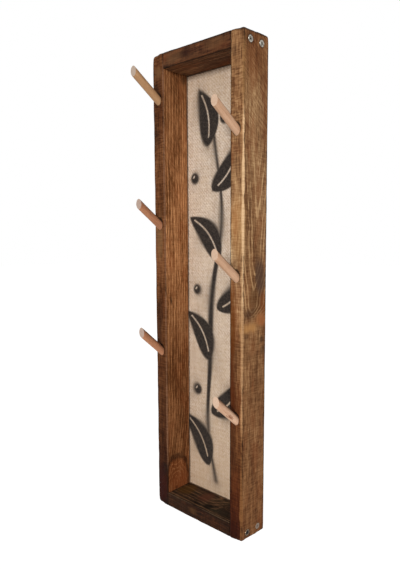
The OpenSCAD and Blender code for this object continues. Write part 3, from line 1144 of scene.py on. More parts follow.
@dataclass
class Fasteners:
    """Screws: one mesh of each kind, set at its places by Geometry Nodes."""

    # Half length, width and depth of the recess's arms, as shares of the head's diameter
    recess_reach: float = 0.27
    recess_width: float = 0.14
    recess_depth: float = 0.2
    thread_turn_steps: int = 20

    def tree(self) -> Tree:
        """Builds the tree that sets one fastener at every point of its mesh.

        Returns:
            The tree, with named inputs for the fastener, its turn, its seed and its finish.
        """
        found = bpy.data.node_groups.get("fasteners_at_points")
        if found:
            return found
        tree, given = shape_tree("fasteners_at_points", "Fasteners", (
            ("Points", "Geometry"), ("Fastener", "Object"), ("Facing", "Vector"), ("Seed", "Int"),
            ("Finish", "Material")))
        shape = add(tree, "GeometryNodeObjectInfo", {"Object": given["Fastener"]}).outputs["Geometry"]
        turn = add(tree, "FunctionNodeRandomValue", {"Max": math.tau, "Seed": given["Seed"]},
                   data_type="FLOAT")
        spin = add(tree, "ShaderNodeCombineXYZ", {"Z": turn})
        own = add(tree, "FunctionNodeEulerToRotation", {0: spin})
        facing = add(tree, "FunctionNodeEulerToRotation", {0: given["Facing"]})
        both = add(tree, "FunctionNodeRotateRotation", {"Rotation": facing, "Rotate By": own},
                   rotation_space="LOCAL")
        placed = add(tree, "GeometryNodeInstanceOnPoints", {
            "Points": given["Points"], "Instance": shape, "Rotation": both})
        real = add(tree, "GeometryNodeRealizeInstances", {0: placed})
        dressed = add(tree, "GeometryNodeSetMaterial", {"Geometry": real, "Material": given["Finish"]})
        add(tree, "NodeGroupOutput", {"Fasteners": dressed})
        return tree

    def set_at(self, name: str, fastener: Mesh, points: Sequence[Point], facing: Point,
               seed: int, finish: Finish) -> Piece:
        """Sets a fastener at each point.

        Args:
            name: The piece's name.
            fastener: The fastener's mesh, its head's top at the origin and its tip towards -Z.
            points: Where the heads' tops go, in millimetres.
            facing: Turns the head's +Z to where it faces, in radians.
            seed: Seed of the heads' chance turns.
            finish: The finish of them all.

        Returns:
            The piece, with a plain mesh.
        """
        model = new_piece(f"{name}_model", fastener)
        base = new_piece(f"{name}_points", mesh_of(f"{name}_points", points, []))
        modifier = base.modifiers.new("fasteners", "NODES")
        modifier.node_group = self.tree()
        give_inputs(modifier, {
            "Fastener": model, "Facing": facing, "Seed": seed, "Finish": finish.material()})
        made = frozen(base, name)
        bpy.data.objects.remove(model)
        shade(made, 30)
        return made

    def screw(self, name: str, size: ScrewSize) -> Mesh:
        """Makes a countersunk wood screw with a cross recess and a turned thread.

        Args:
            name: The mesh's name.
            size: The screw's sizes.

        Returns:
            The screw's mesh, its head's top at the origin and its tip towards -Z.
        """
        d, head_d, length, thread = size
        root, shank, top = 0.33 * d, 0.41 * d, head_d / 2
        cone = top - shank
        rim = 0.05 * head_d
        # Radius and height from the tip up, in a wood screw's usual proportions
        outline = [(0, -length), (0.12 * d, 0.3 * d - length), (root, d - length), (root, thread - length),
                   (shank, thread + 0.6 - length), (shank, -cone - rim), (0.93 * top, -rim - 0.08 * top),
                   (top, -rim), (top, -0.4 * rim), (0.97 * top, 0), (0, 0)]
        body = new_piece(name, lathe(name, outline, 40))
        reach, wide, deep = (share * head_d for share in (
            self.recess_reach, self.recess_width, self.recess_depth))
        arms = [self.recess_arm(f"{name}_arm{i}", reach, wide, deep, i * math.pi / 2) for i in (0, 1)]
        made = carve(body, arms, name)
        whole = bmesh.new()
        whole.from_mesh(made.data)
        ridge = self.thread(f"{name}_thread", root, d / 2, 0.5 * d, thread - length - 0.2 * d, d - length)
        whole.from_mesh(ridge)
        mesh = bpy.data.meshes.new(name)
        whole.to_mesh(mesh)
        whole.free()
        bpy.data.meshes.remove(ridge)
        bpy.data.objects.remove(made)
        return mesh

    def recess_arm(self, name: str, reach: float, wide: float, deep: float, turn: float) -> Mesh:
        """Makes one tapered arm of the driver's recess.

        Args:
            name: The mesh's name.
            reach: Half its length at the face.
            wide: Its width at the face.
            deep: Its depth.
            turn: Its turn about the screw's axis, in radians.

        Returns:
            The closed cutter's mesh.
        """
        def corners(z: float, half_x: float, half_y: float) -> list[Point]:
            """Gives the four corners of the arm at a height.

            Args:
                z: The height.
                half_x: Half the arm's length there.
                half_y: Half its width there.

            Returns:
                The corners, anticlockwise as seen from above.
            """
            flat = [(-half_x, -half_y), (half_x, -half_y), (half_x, half_y), (-half_x, half_y)]
            c, s = math.cos(turn), math.sin(turn)
            return [(c * x - s * y, s * x + c * y, z) for x, y in flat]

        # The second arm starts a hair lower, so that no two faces of the cutters coincide
        sink = 0.01 * turn
        points = corners(-deep - sink, 0.45 * reach, 0.35 * wide)
        points += corners(1 + sink, 1.15 * reach, 0.55 * wide)
        faces = [(3, 2, 1, 0), (4, 5, 6, 7)]
        faces += [(i, (i + 1) % 4, (i + 1) % 4 + 4, i + 4) for i in range(4)]
        return mesh_of(name, points, faces)

    def thread(self, name: str, root: float, crest: float, pitch: float, top: float,
               bottom: float) -> Mesh:
        """Winds a thread's ridge round the shank.

        Args:
            name: The mesh's name.
            root: Radius of the shank under the thread.
            crest: Radius over the thread.
            pitch: Rise in one turn.
            top: Z where the thread runs out.
            bottom: Z where it starts.

        Returns:
            The closed ridge's mesh.
        """
        steps = int((top - bottom) / pitch * self.thread_turn_steps)
        points = []
        for i in range(steps + 1):
            a = math.tau * i / self.thread_turn_steps
            z = bottom + pitch * i / self.thread_turn_steps
            grow = min(1.0, i / self.thread_turn_steps, (steps - i) / self.thread_turn_steps)
            edge = root - 0.1 + (crest - root + 0.1) * max(grow, 0.05)
            for r, dz in ((root - 0.15, -0.3 * pitch), (edge, 0.0), (root - 0.15, 0.3 * pitch)):
                points.append((r * math.cos(a), r * math.sin(a), z + dz))
        faces = [(0, 1, 2), (3 * steps + 2, 3 * steps + 1, 3 * steps)]
        for i in range(steps):
            for j in range(3):
                k = (j + 1) % 3
                faces.append((3 * i + j, 3 * i + 3 + j, 3 * i + 3 + k, 3 * i + k))
        mesh = mesh_of(name, points, faces)
        point_outwards(mesh)
        return mesh


def point_outwards(mesh: Mesh) -> None:
    """Makes every face of a closed mesh face outwards.

    Args:
        mesh: The mesh, which is changed.
    """
    work = bmesh.new()
    work.from_mesh(mesh)
    bmesh.ops.recalc_face_normals(work, faces=work.faces)
    work.to_mesh(mesh)
    work.free()


def shape_tree(name: str, result: str,
               inputs: Iterable[tuple[str, str]]) -> tuple[Tree, bpy.types.NodeOutputs]:
    """Starts a Geometry Nodes tree that makes a shape from named inputs.

    Args:
        name: The tree's name.
        result: The name of the shape that it gives.
        inputs: Name and kind of each input.

    Returns:
        The tree, and the sockets that its inputs come from.
    """
    tree = bpy.data.node_groups.new(name, "GeometryNodeTree")
    tree.is_modifier = True
    for label, kind in inputs:
        tree.interface.new_socket(label, in_out="INPUT", socket_type=f"NodeSocket{kind}")
    tree.interface.new_socket(result, in_out="OUTPUT", socket_type="NodeSocketGeometry")
    return tree, add(tree, "NodeGroupInput").outputs


def give_inputs(modifier: bpy.types.NodesModifier, values: dict[str, object]) -> None:
    """Sets a Geometry Nodes modifier's inputs by their sockets' identifiers.

    Args:
        modifier: The modifier.
        values: Value of each input, by the name that the tree shows.
    """
    for item in modifier.node_group.interface.items_tree:
        if item.item_type == "SOCKET" and item.in_out == "INPUT" and item.name in values:
            modifier[item.identifier] = values[item.name]


@dataclass
class Board:
    """One board of the frame: a sawn length of pine with worn arrises."""

    name: str
    finish: StainedPine
    size: Point
    arris: Point
    slot: str
    cutters: Callable[[], list[Mesh]]
    # Mesh steps across and along the fibres; finer along the arrises
    step_across: float = 1.15
    step_along: float = 2.0
    # Extra wear of the arrises as a share, height of the late wood and depth of the dents in
    # millimetres, and how far the faces wave as a share of that height
    wear: float = 0.55
    relief: float = 0.16
    dent: float = 0.3
    uneven: float = 1.6

    def tree(self) -> Tree:
        """Builds the tree that makes the board's dense, worn and ridged surface.

        Returns:
            The tree, with named inputs for the board's sizes.
        """
        growth = self.finish.growth
        tree, given = shape_tree(f"{self.name}_shape", "Board", (
            ("Size", "Vector"), ("Centre", "Vector"), ("Arris", "Vector"), ("Steps X", "Int"),
            ("Steps Y", "Int"), ("Steps Z", "Int"), ("Wear", "Float"), ("Relief", "Float"),
            ("Dent", "Float"), ("Finish", "Material")))
        box = add(tree, "GeometryNodeMeshCube", {
            "Size": given["Size"], "Vertices X": given["Steps X"], "Vertices Y": given["Steps Y"],
            "Vertices Z": given["Steps Z"]}).outputs["Mesh"]
        at = add(tree, "GeometryNodeInputPosition")
        half = add(tree, VECTOR, {0: given["Size"], "Scale": 0.5}, operation="SCALE")
        # Crowds the mesh towards the arrises: t (1.25 - 0.25 t t) for t from -1 to 1
        t = add(tree, VECTOR, {0: at, 1: half}, operation="DIVIDE")
        squared = add(tree, VECTOR, {0: t, 1: t}, operation="MULTIPLY")
        factor = add(tree, VECTOR, {0: squared, 1: (-0.25,) * 3, 2: (1.25,) * 3},
                     operation="MULTIPLY_ADD")
        crowded = add(tree, VECTOR, {
            0: add(tree, VECTOR, {0: t, 1: factor}, operation="MULTIPLY"), 1: half},
            operation="MULTIPLY")
        box = add(tree, "GeometryNodeSetPosition", {"Geometry": box, "Position": crowded})
        box = self.round_arrises(tree, box, given, half)
        moved = add(tree, "GeometryNodeSetPosition", {"Geometry": box, "Offset": given["Centre"]})
        grown = growth.build(tree, add(tree, "GeometryNodeInputPosition"))
        soft = add(tree, MATH, {0: grown.late, 1: 1.0}, operation="SUBTRACT")
        knock = add(tree, NOISE, grain(tree, grown.place, (14, 14, 22), growth.salt + 17, 1.0))
        hollow = Eased(knock, 0.66, 0.82, 0, -1)
        wave = add(tree, NOISE, grain(tree, grown.place, (30, 30, 90), growth.salt + 19, 1.0))
        sag = add(tree, MATH, {0: wave, 1: 1.0}, operation="SUBTRACT")
        depth = add(tree, MATH, {
            0: weighted(tree, ((soft, 1.0), (sag, self.uneven))), 1: given["Relief"]}, operation="MULTIPLY")
        depth = add(tree, MATH, {0: hollow, 1: given["Dent"], 2: depth}, operation="MULTIPLY_ADD")
        push = add(tree, VECTOR, {0: add(tree, "GeometryNodeInputNormal"), "Scale": depth},
                   operation="SCALE")
        worn = add(tree, "GeometryNodeSetPosition", {"Geometry": moved, "Offset": push})
        real = add(tree, "GeometryNodeRealizeInstances", {0: worn})
        dressed = add(tree, "GeometryNodeSetMaterial", {"Geometry": real, "Material": given["Finish"]})
        add(tree, "NodeGroupOutput", {"Board": dressed})
        return tree

    def round_arrises(self, tree: Tree, box: Wire, given: bpy.types.NodeOutputs, half: Wire) -> Node:
        """Rounds the box's arrises: most in front and at the outer corners, where knocks have worn them.

        Args:
            tree: The board's tree.
            box: The box so far.
            given: The tree's inputs.
            half: Half of the board's size.

        Returns:
            The node with the rounded box.
        """
        at = add(tree, "GeometryNodeInputPosition")
        place = add(tree, VECTOR, {0: at, "Scale": 1000.0}, operation="SCALE")
        patchy = add(tree, NOISE, grain(tree, place, (16, 16, 30), self.finish.growth.salt + 23, 3.0))
        more = add(tree, MATH, {
            0: Eased(patchy, 0.35, 0.75), 1: given["Wear"], 2: 1.0}, operation="MULTIPLY_ADD")
        depth = add(tree, SPLIT, {0: place}).outputs["Y"]
        inner = add(tree, VECTOR, {0: place, 1: self.finish.inwards},
                    operation="DOT_PRODUCT").outputs["Value"]
        factors = [Eased(depth, -8, 8, 1.5, 0.6), Eased(inner, -4, 5, 1.0, 0.4)]
        if self.finish.growth.run is Run.UP:
            end = self.size[2] / 2
            up = add(tree, MATH, {0: add(tree, SPLIT, {0: place}).outputs["Z"]},
                     operation="ABSOLUTE")
            factors.append(Eased(up, end - 14, end - 1, 1.0, 1.7))
        for factor in factors:
            more = add(tree, MATH, {0: more, 1: factor}, operation="MULTIPLY")
        radius = add(tree, VECTOR, {0: given["Arris"], "Scale": more}, operation="SCALE")
        core = add(tree, VECTOR, {0: half, 1: radius}, operation="SUBTRACT")
        back = add(tree, VECTOR, {0: core, "Scale": -1.0}, operation="SCALE")
        held = add(tree, VECTOR, {
            0: add(tree, VECTOR, {0: at, 1: core}, operation="MINIMUM"), 1: back},
            operation="MAXIMUM")
        out = add(tree, VECTOR, {
            0: add(tree, VECTOR, {0: at, 1: held}, operation="SUBTRACT"), 1: radius},
            operation="DIVIDE")
        unit = add(tree, VECTOR, {0: out}, operation="NORMALIZE")
        rounded = add(tree, VECTOR, {
            0: held, 1: add(tree, VECTOR, {0: unit, 1: radius}, operation="MULTIPLY")},
            operation="ADD")
        return add(tree, "GeometryNodeSetPosition", {"Geometry": box, "Position": rounded})

    def build(self) -> Piece:
        """Makes the board, cuts its holes and recesses, and hands it over.

        Returns:
            The finished board.
        """
        across, along = self.step_across, self.step_along
        upright = self.finish.growth.run is Run.UP
        pace = (across, across, along) if upright else (along, across, across)
        steps = [int(round(size / step)) + 1 for size, step in zip(self.size, pace)]
        blank = new_piece(f"{self.name}_blank", bpy.data.meshes.new("blank"))
        modifier = blank.modifiers.new("shape", "NODES")
        modifier.node_group = self.tree()
        metres = [tuple(c * MM for c in v) for v in (self.size, self.finish.growth.centre, self.arris)]
        give_inputs(modifier, {
            "Size": metres[0], "Centre": metres[1], "Arris": metres[2], "Steps X": steps[0],
            "Steps Y": steps[1], "Steps Z": steps[2], "Wear": self.wear, "Relief": self.relief * MM,
            "Dent": self.dent * MM, "Finish": self.finish.material()})
        blank = frozen(blank, f"{self.name}_blank")
        board = carve(blank, self.cutters(), f"{self.name}_worn")
        self.finish.dress(board)
        shade(board, 42)
        return hand_over(board, self.slot, self.name)


@dataclass
class Frame:
    """The box frame: two uprights and, between them, a top and a bottom board."""

    width: float = 182.0
    height: float = 702.0
    depth: float = 50.0
    # Thickness of the uprights and of the two boards between them
    thick: float = 24.0
    rail: float = 23.0
    upright_arris: Point = (1.3, 1.3, 1.8)
    rail_arris: Point = (0.35, 1.0, 1.0)
    top: float = 60.0
    # Depth of the recess for the back panel, and how far it reaches past the opening
    rebate: float = 3.0
    rebate_over: float = 5.0
    # How far the corner screws' faces are sunk, and how far their row lies below the boards' middle
    screw_sink: float = 0.4
    screw_drop: float = 1.0
    screw_y: tuple[float, float] = (-37.0, -14.0)
    screw: ScrewSize = ScrewSize(d=4.6, head_d=9.2, length=60, thread=36)

    @property
    def bottom(self) -> float:
        """Z of the frame's lower edge."""
        return self.top - self.height

    @property
    def screw_z(self) -> tuple[float, float]:
        """Z of the corner screws at the top and at the bottom."""
        return (self.top - self.rail / 2 - self.screw_drop, self.bottom + self.rail / 2 - self.screw_drop)

    @property
    def opening(self) -> tuple[float, float, float]:
        """Half width, lower end and upper end of the opening between the boards."""
        return (self.width / 2 - self.thick, self.bottom + self.rail, self.top - self.rail)

    def upright_x(self, side: int) -> float:
        """X of an upright's centre line; side is -1 on the left and 1 on the right."""
        return side * (self.width - self.thick) / 2

    def panel_bed(self) -> Mesh:
        """Makes the cutter of the sunk bed that the back panel lies in.

        Returns:
            The cutter, which stands 1 mm out behind the wall face.
        """
        half, low, high = self.opening
        x, low, high = half + self.rebate_over, low - self.rebate_over, high + self.rebate_over
        return prism("panel_bed", [(-x, low), (x, low), (x, high), (-x, high)], -self.rebate, 1.0)

    def countersinks(self, side: int) -> list[Mesh]:
        """Makes the cutters of one upright's four countersunk screw holes.

        Args:
            side: -1 on the left and 1 on the right.

        Returns:
            The cutters.
        """
        made = []
        # Radius and height over the heads' faces: the shank's hole, the cone and a clear mouth
        outline = [(0, -6), (2.5, -6), (2.5, -2.4), (5.1, 0), (5.2, 2), (0, 2)]
        for y in self.screw_y:
            for z in self.screw_z:
                hole = lathe("countersink", outline, 32)
                turn = Matrix.Rotation(side * math.pi / 2, 4, "Y")
                place = Vector((side * (self.width / 2 - self.screw_sink), y, z)) * MM
                hole.transform(Matrix.Translation(place) @ turn)
                made.append(hole)
        return made


@dataclass
class Peg:
    """One slanting peg: its X, its height above the frame's lower edge, its slant and reach."""

    name: str
    x: float
    height: float
    slant: float
    reach: float
    finish: OiledDowel


@dataclass
class PegSet:
    """The six dowel pegs, glued into blind holes and sawn off parallel to the wall."""

    FIBRES = "fibres"

    frame: Frame
    pegs: tuple[Peg, ...]
    d: float = 12.0
    slack: float = 0.15
    depth: float = 28.0
    around: int = 40
    step: float = 1.6
    foot_chamfer: float = 0.6
    cut_edge: float = 0.45
    # The skin lies inside the full radius by about this share of it, a little more or less
    uneven: float = 0.006

    def turn(self, peg: Peg) -> Matrix:
        """Gives the matrix that takes a peg's own axis, +Z, to its place, in metres.

        Args:
            peg: The peg.

        Returns:
            The matrix, with its origin where the peg's axis meets the front plane.
        """
        foot = Vector((peg.x, -self.frame.depth, self.frame.bottom + peg.height)) * MM
        return Matrix.Translation(foot) @ Matrix.Rotation(math.radians(90 - peg.slant), 4, "X")

    def holes(self, side: int) -> list[Mesh]:
        """Makes the cutters of one upright's peg holes.

        Args:
            side: -1 on the left and 1 on the right.

        Returns:
            The cutters, which run 20 mm out past the front.
        """
        made = []
        r = self.d / 2 + self.slack
        for peg in self.pegs:
            if peg.x * side > 0:
                hole = lathe("peg_hole", [(0, -self.depth), (r, -self.depth), (r, 20), (0, 20)], 48)
                hole.transform(self.turn(peg))
                made.append(hole)
        return made

    def build_one(self, peg: Peg) -> Piece:
        """Makes one peg with a softened saw cut and a very slightly uneven skin.

        Args:
            peg: The peg.

        Returns:
            The finished piece.
        """
        r, longest = self.d / 2, peg.reach + self.d
        rings = int((longest + self.depth) / self.step)
        chamfer = self.foot_chamfer
        outline = [(0, -self.depth), (r - chamfer, -self.depth), (r, chamfer - self.depth)]
        outline += [(r, -self.depth + chamfer + (longest + self.depth) * (i + 1) / rings)
                    for i in range(rings)]
        outline.append((0, outline[-1][1]))
        mesh = lathe(peg.name, outline, self.around)
        work = bmesh.new()
        work.from_mesh(mesh)
        # The saw cut: a plane parallel to the wall, in the peg's own axes
        turn = self.turn(peg)
        foot = turn.to_translation()
        cut_y = foot.y - peg.reach * math.cos(math.radians(peg.slant)) * MM
        spot = turn.inverted() @ Vector((foot.x, cut_y, foot.z))
        away = turn.inverted().to_3x3() @ Vector((0, -1, 0))
        bmesh.ops.bisect_plane(work, geom=work.verts[:] + work.edges[:] + work.faces[:], plane_co=spot,
                               plane_no=away, clear_outer=True)
        rim = [e for e in work.edges if e.is_boundary]
        bmesh.ops.holes_fill(work, edges=rim, sides=0)
        bmesh.ops.remove_doubles(work, verts=work.verts, dist=0.02 * MM)
        rim = [e for e in work.edges if e.calc_face_angle(0) > 0.5 and all(
            abs((v.co - spot).dot(away)) < 1e-6 for v in e.verts)]
        bmesh.ops.bevel(work, geom=rim, offset=self.cut_edge * MM, segments=3, profile=0.6,
                        affect="EDGES", clamp_overlap=True)
        fibres = work.verts.layers.float_vector.new(self.FIBRES)
        for v in work.verts:
            v[fibres] = v.co * 1000
            a = math.atan2(v.co.y, v.co.x)
            wobble = math.sin(3 * a + 40 * v.co.z + peg.height) * math.sin(170 * v.co.z + peg.reach)
            v.co.xy *= 1 - self.uneven * (1 + wobble)
        bmesh.ops.recalc_face_normals(work, faces=work.faces)
        work.to_mesh(mesh)
        work.free()
        mesh.transform(turn)
        piece = new_piece(f"{peg.name}_dowel", mesh)
        peg.finish.dress(piece)
        shade(piece, 28)
        return hand_over(piece, "dowel_wood", peg.name)

    def build(self) -> None:
        """Makes all the pegs."""
        for peg in self.pegs:
            self.build_one(peg)


@dataclass
class Hanger:
    """The keyhole plates let into the backs of the uprights, and their screws."""

    x: float = 81.5
    width: float = 14.0
    thick: float = 1.5
    # How far the plate reaches down and up from the middle of the keyhole's round end
    below: float = 13.0
    above: float = 23.0
    slack: float = 0.2
    pocket_width: float = 11.0
    pocket_depth: float = 8.0
    travel: float = 12.0
    screws_z: tuple[float, float] = (-9.5, 19.0)
    edge: float = 0.25
    screw: ScrewSize = ScrewSize(d=3, head_d=5.6, length=12, thread=9)

    def recess(self, side: int) -> list[Mesh]:
        """Makes the cutters of one upright's bed and pocket for the plate.

        Args:
            side: -1 on the left and 1 on the right.

        Returns:
            The cutters.
        """
        x, half = side * self.x, self.pocket_width / 2
        bed = stadium(x, self.width + 2 * self.slack, -self.below - self.slack, self.above + self.slack)
        pocket = stadium(x, self.pocket_width, -half, self.travel + half)
        # They stand unlike lengths out behind the wall face, so that no two faces coincide
        return [prism("plate_bed", bed, -self.thick, 1.0),
                prism("keyhole_pocket", pocket, -self.thick - self.pocket_depth, 0.9)]

    def plate(self, side: int) -> Piece:
        """Softens the stamped edges of one plate.

        Args:
            side: -1 on the left and 1 on the right.

        Returns:
            The finished piece.
        """
        node = "hanger_left" if side < 0 else "hanger_right"
        work = bmesh.new()
        work.from_mesh(frame["nodes"][node].data)
        bmesh.ops.remove_doubles(work, verts=work.verts, dist=0.002 * MM)
        bmesh.ops.dissolve_limit(work, angle_limit=math.radians(1), verts=work.verts, edges=work.edges)
        sharp = [e for e in work.edges if len(e.link_faces) == 2 and e.calc_face_angle(0) > math.radians(60)]
        bmesh.ops.bevel(work, geom=sharp, offset=self.edge * MM, segments=2, profile=0.6, affect="EDGES",
                        clamp_overlap=True)
        mesh = bpy.data.meshes.new(f"{node}_plate")
        work.to_mesh(mesh)
        work.free()
        piece = new_piece(f"{node}_plate", mesh)
        BrightZinc("zinc_hanger_plate").dress(piece)
        shade(piece, 30)
        return hand_over(piece, "zinc", node)


@dataclass
class Leaf:
    """One sprayed leaf: its root, its length and half-width in millimetres, and its lean in degrees."""

    x: float
    z: float
    length: float
    half: float
    lean: float


@dataclass
class Hessian:
    """The hessian facing: a woven sheet glued over the back panel and held by the frame's rebate.

    Its front carries a plain stencilled sprig, sprayed in near-black: a swaying stem with leaves
    and a few berries.
    """

    INK = "ink"

    frame: Frame
    finish: JuteHessian
    slack: float = 0.3
    # Y of the threads that stand out most, of the flat back and of the front's lowest places
    front: float = -3.0
    back: float = -2.2
    lowest: float = -2.5
    step: float = 1.0
    leaves: tuple[Leaf, ...] = ()
    berries: tuple[Point, ...] = ()

    def size(self) -> tuple[float, float, float]:
        """Works out how far the sheet reaches under the frame's rebate.

        Returns:
            Its half width, its lower end and its upper end.
        """
        half, low, high = self.frame.opening
        over = self.frame.rebate_over - self.slack
        return (half + over, low - over, high + over)

    def relief(self, x: np.ndarray, z: np.ndarray) -> np.ndarray:
        """Works out how far the cloth stands out at each place, thick threads and slubs first.

        The single threads are finer than the mesh and lie in the finish.

        Args:
            x: X of each place.
            z: Z of each place.

        Returns:
            From 0 where the cloth lies lowest to 1 where it stands out most.
        """
        slow = np.sin(z / 41 + 1) + 0.6 * np.sin(z / 17 + x / 29)
        cross = np.sin(x / 37 + 2) + 0.6 * np.sin(x / 13 + z / 47)
        u, v = (x + 0.35 * slow) / 3.1, (z + 0.35 * cross) / 3.3
        threads = 0.5 + 0.25 * np.sin(np.pi * u) + 0.25 * np.sin(np.pi * v)
        rows = np.sin(1.7 * np.floor(u) ** 2 + z / 60) * 0.5 + np.sin(2.3 * np.floor(v) ** 2 + x / 50) * 0.5
        return np.clip(0.7 * threads + 0.15 * (1 + rows), 0, 1)

    def design(self, x: np.ndarray, z: np.ndarray) -> np.ndarray:
        """Works out where the sprayed sprig is.

        Args:
            x: X of each place.
            z: Z of each place.

        Returns:
            How much paint lies at each place, from 0 to 1.
        """
        gap = self.stem_gap(x, z)
        bare = np.full_like(x, 9.0)
        for leaf in self.leaves:
            body, rib = self.leaf_gap(leaf, x, z)
            gap, bare = np.minimum(gap, body), np.minimum(bare, rib)
        for bx, bz, r in self.berries:
            gap = np.minimum(gap, np.hypot(x - bx, z - bz) - r)
            shine = np.abs(np.hypot(x - bx - 0.18 * r, z - bz + 0.15 * r) - 0.62 * r) - 0.9
            bare = np.minimum(bare, np.where((x < bx) & (z > bz), shine, 9.0))
        patchy = 0.5 + 0.5 * np.sin(z / 23 + 1.3 * np.sin(x / 19)) * np.cos(x / 15 - z / 61)
        soft = 2.2 + 8 * patchy ** 2
        paint = 1 - smooth((gap + 0.5 * soft) / (1.6 * soft))
        mist = 0.42 * np.exp(-np.maximum(gap, 0) / (3 + 9 * patchy))
        ribs = smooth((bare + 0.4) / 1.4)
        return np.clip(np.maximum(paint * (0.12 + 0.88 * ribs), mist * patchy), 0, 1)

    def stem_x(self, z: np.ndarray) -> np.ndarray:
        """Gives the stem's X at each height."""
        return -10 + 13 * np.sin((z + 300) / 88) + 4 * np.sin(z / 37)

    def stem_gap(self, x: np.ndarray, z: np.ndarray) -> np.ndarray:
        """Measures each place against the stem.

        Args:
            x: X of each place.
            z: Z of each place.

        Returns:
            The distance from the stem's edge, negative inside.
        """
        half = 3.2 + 1.3 * np.sin(z / 71)
        below, above = np.maximum(-596 - z, 0), np.maximum(z + 8, 0)
        return np.hypot(0.93 * np.abs(x - self.stem_x(z)), below + above) - half

    def leaf_gap(self, leaf: Leaf, x: np.ndarray, z: np.ndarray) -> tuple[np.ndarray, np.ndarray]:
        """Measures each place against one leaf.

        Args:
            leaf: The leaf.
            x: X of each place.
            z: Z of each place.

        Returns:
            The distance from the leaf's edge, negative inside, and the distance from its rib.
        """
        a = math.radians(leaf.lean)
        along = (x - leaf.x) * math.sin(a) + (z - leaf.z) * math.cos(a)
        side = (x - leaf.x) * math.cos(a) - (z - leaf.z) * math.sin(a)
        side = side - 0.12 * leaf.length * np.sin(np.pi * np.clip(along / leaf.length, 0, 1))
        share = np.clip(along / leaf.length, 0, 1)
        width = leaf.half * np.sin(np.pi * share ** 0.8) ** 0.75
        past = np.maximum(np.maximum(-along, along - leaf.length), 0)
        body = np.hypot(np.maximum(np.abs(side) - width, 0), past) + np.minimum(
            np.maximum(np.abs(side) - width, -past - 9), 0)
        rib = np.where((share > 0.14) & (share < 0.9), np.abs(side) - 0.9, 9.0)
        return body, rib

    def build(self) -> Piece:
        """Makes the sheet with its woven front, its flat back and the marks of thread and paint.

        Returns:
            The finished piece.
        """
        half, low, high = self.size()
        nx, nz = int(round(2 * half / self.step)) + 1, int(round((high - low) / self.step)) + 1
        x, z = np.meshgrid(np.linspace(-half, half, nx), np.linspace(low, high, nz))
        height = self.relief(x, z)
        y = self.lowest + (self.front - self.lowest) * height
        number = np.arange(nx * nz).reshape(nz, nx)
        edge = np.concatenate([number[0, :-1], number[:-1, -1], number[-1, :0:-1], number[:0:-1, 0]])
        points = np.stack([x, y, z], axis=-1).reshape(-1, 3)
        backs = points[edge] * (1, 0, 1) + (0, self.back, 0)
        quads = np.stack([number[:-1, :-1], number[:-1, 1:], number[1:, 1:], number[1:, :-1]],
                         axis=-1).reshape(-1, 4)
        n, ring = nx * nz, len(edge)
        here, after = np.arange(ring), (np.arange(ring) + 1) % ring
        walls = np.stack([edge[here], here + n, after + n, edge[after]], axis=-1)
        faces = quads.tolist() + walls.tolist() + [list(range(n + ring - 1, n - 1, -1))]
        mesh = mesh_of("hessian_facing_cloth", np.concatenate([points, backs]).tolist(), faces)
        marks = np.concatenate([self.design(x, z).ravel(), np.zeros(ring)]).astype(np.float32)
        mesh.attributes.new(self.INK, "FLOAT", "POINT").data.foreach_set("value", marks)
        piece = new_piece("hessian_facing_cloth", mesh)
        self.finish.dress(piece)
        shade(piece, 60)
        hand_over(piece, "hessian", "hessian_facing")
        return piece


def smooth(t: np.ndarray) -> np.ndarray:
    """Eases from 0 to 1, clamped at both ends."""
    t = np.clip(t, 0, 1)
    return t * t * (3 - 2 * t)


